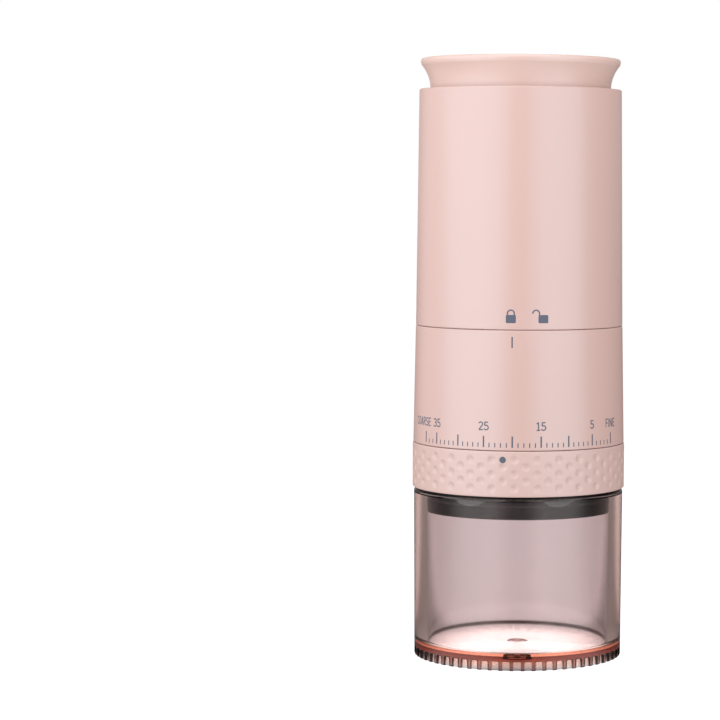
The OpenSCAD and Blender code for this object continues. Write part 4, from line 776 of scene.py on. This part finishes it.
# ticks repeat, so they are instances: one at each point of a line of points, turned by its stored angle
def tickNodes():
    tree = bpy.data.node_groups.new("scaleTicks", "GeometryNodeTree")
    tree.interface.new_socket("Geometry", in_out="INPUT", socket_type="NodeSocketGeometry")
    for name in ("Radius", "Foot", "Long", "Short", "Long width", "Short width", "Thickness", "Lean"):
        tree.interface.new_socket(name, in_out="INPUT", socket_type="NodeSocketFloat")
    tree.interface.new_socket("Ink", in_out="INPUT", socket_type="NodeSocketMaterial")
    tree.interface.new_socket("Geometry", in_out="OUTPUT", socket_type="NodeSocketGeometry")
    given, result = tree.nodes.new("NodeGroupInput"), tree.nodes.new("NodeGroupOutput")

    def add(kind, **settings):
        node = tree.nodes.new(kind)
        for key, value in settings.items():
            setattr(node, key, value)
        return node

    def stored(name):
        node = add("GeometryNodeInputNamedAttribute", data_type="FLOAT")
        node.inputs["Name"].default_value = name
        return node.outputs["Attribute"]

    def choose(isLong, yes, no):
        node = add("GeometryNodeSwitch", input_type="FLOAT")
        tree.links.new(isLong, node.inputs["Switch"])
        tree.links.new(no, node.inputs["False"])
        tree.links.new(yes, node.inputs["True"])
        return node.outputs["Output"]

    turn, isLong = stored("turn"), stored("long")
    place = add("ShaderNodeCombineXYZ")
    away = mathNode(tree, "MULTIPLY", given.outputs["Radius"], mathNode(tree, "SINE", turn))
    near = mathNode(tree, "MULTIPLY", given.outputs["Radius"], mathNode(tree, "COSINE", turn))
    tree.links.new(away, place.inputs["X"])
    tree.links.new(mathNode(tree, "MULTIPLY", near, -1.0), place.inputs["Y"])
    tree.links.new(given.outputs["Foot"], place.inputs["Z"])
    moved = add("GeometryNodeSetPosition")
    tree.links.new(given.outputs["Geometry"], moved.inputs["Geometry"])
    tree.links.new(place.outputs[0], moved.inputs["Position"])
    # a unit cube that stands on the point, scaled to the tick's size
    plate = add("GeometryNodeMeshCube")
    lifted = add("GeometryNodeTransform")
    lifted.inputs["Translation"].default_value = (0, 0, 0.5)
    tree.links.new(plate.outputs["Mesh"], lifted.inputs["Geometry"])
    size, facing = add("ShaderNodeCombineXYZ"), add("ShaderNodeCombineXYZ")
    width = choose(isLong, given.outputs["Long width"], given.outputs["Short width"])
    tall = choose(isLong, given.outputs["Long"], given.outputs["Short"])
    tree.links.new(width, size.inputs["X"])
    tree.links.new(given.outputs["Thickness"], size.inputs["Y"])
    tree.links.new(tall, size.inputs["Z"])
    tree.links.new(mathNode(tree, "MULTIPLY", given.outputs["Lean"], -1.0), facing.inputs["X"])
    tree.links.new(turn, facing.inputs["Z"])
    copies = add("GeometryNodeInstanceOnPoints")
    tree.links.new(moved.outputs["Geometry"], copies.inputs["Points"])
    tree.links.new(lifted.outputs["Geometry"], copies.inputs["Instance"])
    tree.links.new(facing.outputs[0], copies.inputs["Rotation"])
    tree.links.new(size.outputs[0], copies.inputs["Scale"])
    real, inked = add("GeometryNodeRealizeInstances"), add("GeometryNodeSetMaterial")
    tree.links.new(copies.outputs["Instances"], real.inputs["Geometry"])
    tree.links.new(real.outputs["Geometry"], inked.inputs["Geometry"])
    tree.links.new(given.outputs["Ink"], inked.inputs["Material"])
    tree.links.new(inked.outputs["Geometry"], result.inputs["Geometry"])
    return tree


def tickPiece(s):
    mesh = bpy.data.meshes.new("scaleTicks")
    mesh.from_pydata([(0, 0, 0)] * (s["units"] + 1), [], [])
    turns = [math.radians(unitTurn(i, s["turns"])) for i in range(s["units"] + 1)]
    longs = [float(i % s["longEvery"] == 0 or i == s["units"]) for i in range(s["units"] + 1)]
    for name, values in (("turn", turns), ("long", longs)):
        mesh.attributes.new(name, "FLOAT", "POINT").data.foreach_set("value", values)
    piece = linked("scaleTicks", mesh)
    ticks = piece.modifiers.new("ticks", "NODES")
    ticks.node_group = tickNodes()
    values = {
        "Radius": bodyRadius(s["low"]) * mm, "Foot": s["low"] * mm, "Long": s["long"] * mm,
        "Short": s["short"] * mm, "Long width": s["longWidth"] * mm, "Short width": s["shortWidth"] * mm,
        "Thickness": s["thick"] * mm, "Ink": inkSlate,
        "Lean": math.atan((mill["lowRadius"] - mill["topRadius"]) / (mill["top"] - mill["low"])),
    }
    for item in ticks.node_group.interface.items_tree:
        if item.in_out == "INPUT" and item.name in values:
            ticks[item.identifier] = values[item.name]
    return settled(piece, "scaleTicks")


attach(tickPiece(scaleMarks), "mill")


def inkPiece(name, body, draw):
    form = bmesh.new()
    draw(form, scaleMarks)
    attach(linked(name, meshFrom(name, form), inkSlate), body)


def drawMillMarks(form, s):
    for word, turn in s["figures"]:
        lettering(form, word, turn, s["figureLow"], s["figureTall"], s["widen"], s["weight"], s["gap"])
    for word, turn, widen in s["words"]:
        lettering(form, word, turn, s["figureLow"], s["figureTall"], widen, s["wordWeight"], s["wordGap"])
    line = [(0, 0, s["indexWidth"]), (0, s["indexTall"], s["indexWidth"])]
    wrapStrokes(form, [line], s["index"], s["indexLow"])


def drawHostMarks(form, s):
    padlock(form, s, s["closed"], False)
    padlock(form, s, s["open"], True)


def drawRingMark(form, s):
    wrapStrokes(form, [discStroke(s["dotRadius"])], s["dot"], s["dotHeight"])


inkPiece("millMarks", "mill", drawMillMarks)
inkPiece("hostMarks", "host", drawHostMarks)
inkPiece("ringMark", "adjusting_ring", drawRingMark)
print("printed marks ready")

# the CAD nodes that show when the bodies part: a merged, smooth copy each, with its slot, its material and
# the angle in degrees up to which its edges are smoothed
shown = {
    "mill": {
        "jar_collar": ("black_plastic", collarBlack, 22), "jar_seal": ("black_rubber", sealBlack, 60),
        "core_housing": ("black_plastic", innerBlack, 22), "long_screws": ("screw_steel", screwSteel, 30),
        "hopper": ("hopper_plastic", hopperDark, 22), "bayonet_ring": ("black_plastic", innerBlack, 22),
        "bearing_outer_rings": ("bearing_steel", ballSteel, 30),
        "bearing_balls": ("bearing_steel", ballSteel, 60),
    },
    "mill_shaft": {
        "mill_shaft": ("shaft_steel", shaftSteel, 30),
        "bearing_inner_rings": ("bearing_steel", ballSteel, 30),
        "cone_burr": ("burr_steel", burrSteel, 20), "shaft_nut": ("screw_steel", screwSteel, 30),
        "clutch_cup": ("white_plastic", acetalWhite, 25),
    },
    "burr_carrier": {
        "burr_carrier": ("shaft_steel", shaftSteel, 25), "ring_burr": ("burr_steel", burrSteel, 20),
        "burr_screws": ("screw_steel", screwSteel, 30), "carrier_keys": ("brass", turnedBrass, 25),
    },
    "lock_ring": {"lock_ring": ("white_plastic", acetalWhite, 25)},
    "host": {
        "host_floor": ("black_plastic", innerBlack, 22), "floor_screws": ("screw_steel", screwSteel, 30),
        "spindle_bush": ("brass", turnedBrass, 30), "spindle_seal": ("black_rubber", sealBlack, 30),
        "charge_port": ("nickel", nickelStrip, 30),
    },
    "spindle": {
        "output_spindle": ("shaft_steel", shaftSteel, 30), "clutch_dog": ("shaft_steel", shaftSteel, 25),
    },
}
for body, nodes in shown.items():
    for node, (slot, material, degrees) in nodes.items():
        smoothCopy(node, body, slot, material, degrees)
print("smooth copies ready")

# the nodes that never show keep their CAD mesh and get a material only
hidden = {
    "detent_ball": ballSteel, "detent_spring": shaftSteel, "gearbox_housing": acetalWhite,
    "gearbox_cover": acetalWhite, "cover_screws": screwSteel, "gear_pins": shaftSteel,
    "first_gear": nylonCream, "second_gear": nylonCream, "output_gear": shaftSteel,
    "motor_can": shaftSteel, "motor_magnets": ferriteGrey, "motor_end_cap": innerBlack,
    "motor_screws": screwSteel, "motor_rotor": shaftSteel,
    "rotor_windings": windingCopper, "drive_pinion": turnedBrass, "battery_cells": cellSleeve,
    "battery_cradle": innerBlack, "battery_tabs": nickelStrip, "control_board": boardGreen,
    "push_switch": innerBlack, "board_screws": screwSteel, "motor_leads": leadRed,
    "switch_plunger": innerBlack,
}
for node, material in hidden.items():
    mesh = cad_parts[node].data
    mesh.materials.clear()
    mesh.materials.append(material)
rebuilt = set(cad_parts) - set(hidden) - {node for nodes in shown.values() for node in nodes}
print("nodes with a material of their own:", len(hidden), "and replaced by new pieces:", sorted(rebuilt))

# studio: a pale floor that glows with painted light (a pool of light under the jar, painted reflections),
# soft boxes to the left and right of the camera with a gap between them, one above
studio = {
    "floorSize": 8.0, "floorRoughness": 0.9, "white": (0.3, 0.3, 0.3), "mirrorShade": (0.06, 0.06, 0.06),
    "surround": (0.33, 0.325, 0.325), "aim": (0, 0, 0.11), "glow": 0.6, "glowSeen": 0.9,
    "glowUnder": 5.1, "underFrom": 0.012, "underTo": 0.038, "glowRim": 1.2, "rimFrom": 0.04, "rimTo": 0.08,
    "glowBehind": 1.92, "glowBeside": 0.96, "besideFrom": 0.4, "besideTo": 0.7,
    "glowFront": 1.15, "frontFrom": 0.08, "frontTo": 0.6, "aheadFrom": 0.05, "aheadTo": 0.6,
    "lights": [
        ("leftBox", -52, 0.36, 0.22, 0.58, 0.62, 1.8, (1.0, 0.99, 0.985)),
        ("sideBox", -112, 0.45, 0.22, 0.36, 0.62, 0.5, (1.0, 0.99, 0.985)),
        ("rightBox", 43, 0.36, 0.22, 0.43, 0.62, 1.5, (1.0, 0.99, 0.985)),
        ("topBox", 0, 0.1, 0.95, 0.7, 0.7, 2.6, (1.0, 1.0, 1.0)),
    ],
}


# the surround is white to the camera and through clear plastic, and dim to everything else
def makeSurround(colour):
    world = bpy.data.worlds.new("studioWorld")
    scene.world = world
    world.use_nodes = True
    tree = world.node_tree
    dim, seen = tree.nodes["Background"], tree.nodes.new("ShaderNodeBackground")
    dim.inputs["Color"].default_value = (*colour, 1)
    seen.inputs["Color"].default_value = (1, 1, 1, 1)
    path, mix = tree.nodes.new("ShaderNodeLightPath"), tree.nodes.new("ShaderNodeMixShader")
    direct = path.outputs["Is Camera Ray"]
    white = mathNode(tree, "ADD", direct, path.outputs["Is Transmission Ray"], clamp=True)
    tree.links.new(white, mix.inputs[0])
    tree.links.new(dim.outputs[0], mix.inputs[1])
    tree.links.new(seen.outputs[0], mix.inputs[2])
    tree.links.new(mix.outputs[0], tree.nodes["World Output"].inputs["Surface"])


# painted light seen through clear plastic: the table glows brightest under the jar, a painted pool of light,
# with painted shade at the jar's rim, and is dim to the sides
def paintedGlowThrough(tree, s, away, side):
    beside = ramp(tree, side, s["besideFrom"], s["besideTo"])
    past = ramp(tree, away, s["rimFrom"], s["rimTo"])
    under = mathNode(tree, "SUBTRACT", 1.0, ramp(tree, away, s["underFrom"], s["underTo"]))
    behind = s["glowBehind"] - s["glowRim"]
    wide = mathNode(tree, "MULTIPLY_ADD", beside, s["glowBeside"] - s["glowBehind"], behind)
    glow = mathNode(tree, "MULTIPLY_ADD", past, wide, s["glowRim"] - s["glow"])
    return mathNode(tree, "MULTIPLY_ADD", under, s["glowUnder"] - s["glowRim"], glow)


# painted reflection: glossy rays see the table glow in two bright fields in front with a dark gap between
# them
def paintedReflection(tree, s, ahead, side):
    apart = ramp(tree, side, s["frontFrom"], s["frontTo"])
    front = mathNode(tree, "MULTIPLY", apart, ramp(tree, ahead, s["aheadFrom"], s["aheadTo"]))
    return mathNode(tree, "MULTIPLY_ADD", front, s["glowFront"], -s["glow"])


# each kind of ray adds its own share to the plain glow of the table; the shares of glossy and transmission
# rays are painted light
def paintedTableGlow(tree, s, path):
    away, along = pointPlace(tree)
    side = mathNode(tree, "DIVIDE", mathNode(tree, "ABSOLUTE", along["X"]), away)
    ahead = mathNode(tree, "MULTIPLY", mathNode(tree, "DIVIDE", along["Y"], away), -1.0)
    seen = mathNode(tree, "MULTIPLY_ADD", path["Is Camera Ray"], s["glowSeen"] - s["glow"], s["glow"])
    seen = mathNode(tree, "MULTIPLY_ADD", path["Is Glossy Ray"], paintedReflection(tree, s, ahead, side), seen)
    through = paintedGlowThrough(tree, s, away, side)
    return mathNode(tree, "MULTIPLY_ADD", path["Is Transmission Ray"], through, seen)


def makeTable(s):
    half = s["floorSize"] / 2
    corners = [(-half, -half, 0), (half, -half, 0), (half, half, 0), (-half, half, 0)]
    mesh = bpy.data.meshes.new("studioFloor")
    mesh.from_pydata(corners, [], [(0, 1, 2, 3)])
    settings = {"Roughness": s["floorRoughness"], "Emission Color": (1, 1, 1, 1)}
    white, tree, shader = newMaterial("studioWhite", settings)
    path = tree.nodes.new("ShaderNodeLightPath").outputs
    # to glossy rays the table is darker: painted shade in its reflections
    tree.links.new(mixColour(tree, path["Is Glossy Ray"], s["white"], s["mirrorShade"]), shader.inputs["Base Color"])
    tree.links.new(paintedTableGlow(tree, s, path), shader.inputs["Emission Strength"])
    linked("studioFloor", mesh, white)


# each light has a name, its turn from the front, distance, height, two sizes, radiance and colour
def makeLights(s):
    for name, turn, away, height, wide, tall, radiance, colour in s["lights"]:
        light = bpy.data.lights.new(name, "AREA")
        light.shape, light.size, light.size_y = "RECTANGLE", wide, tall
        light.energy, light.color = radiance * wide * tall * math.pi, colour
        lamp = bpy.data.objects.new(name, light)
        lamp.location = (away * math.sin(math.radians(turn)), -away * math.cos(math.radians(turn)), height)
        lamp.rotation_euler = (Vector(s["aim"]) - lamp.location).to_track_quat("-Z", "Y").to_euler()
        lamp.visible_camera = False
        scene.collection.objects.link(lamp)


makeTable(studio)
makeSurround(studio["surround"])
makeLights(studio)
scene.view_settings.view_transform = "Standard"
print("studio ready")
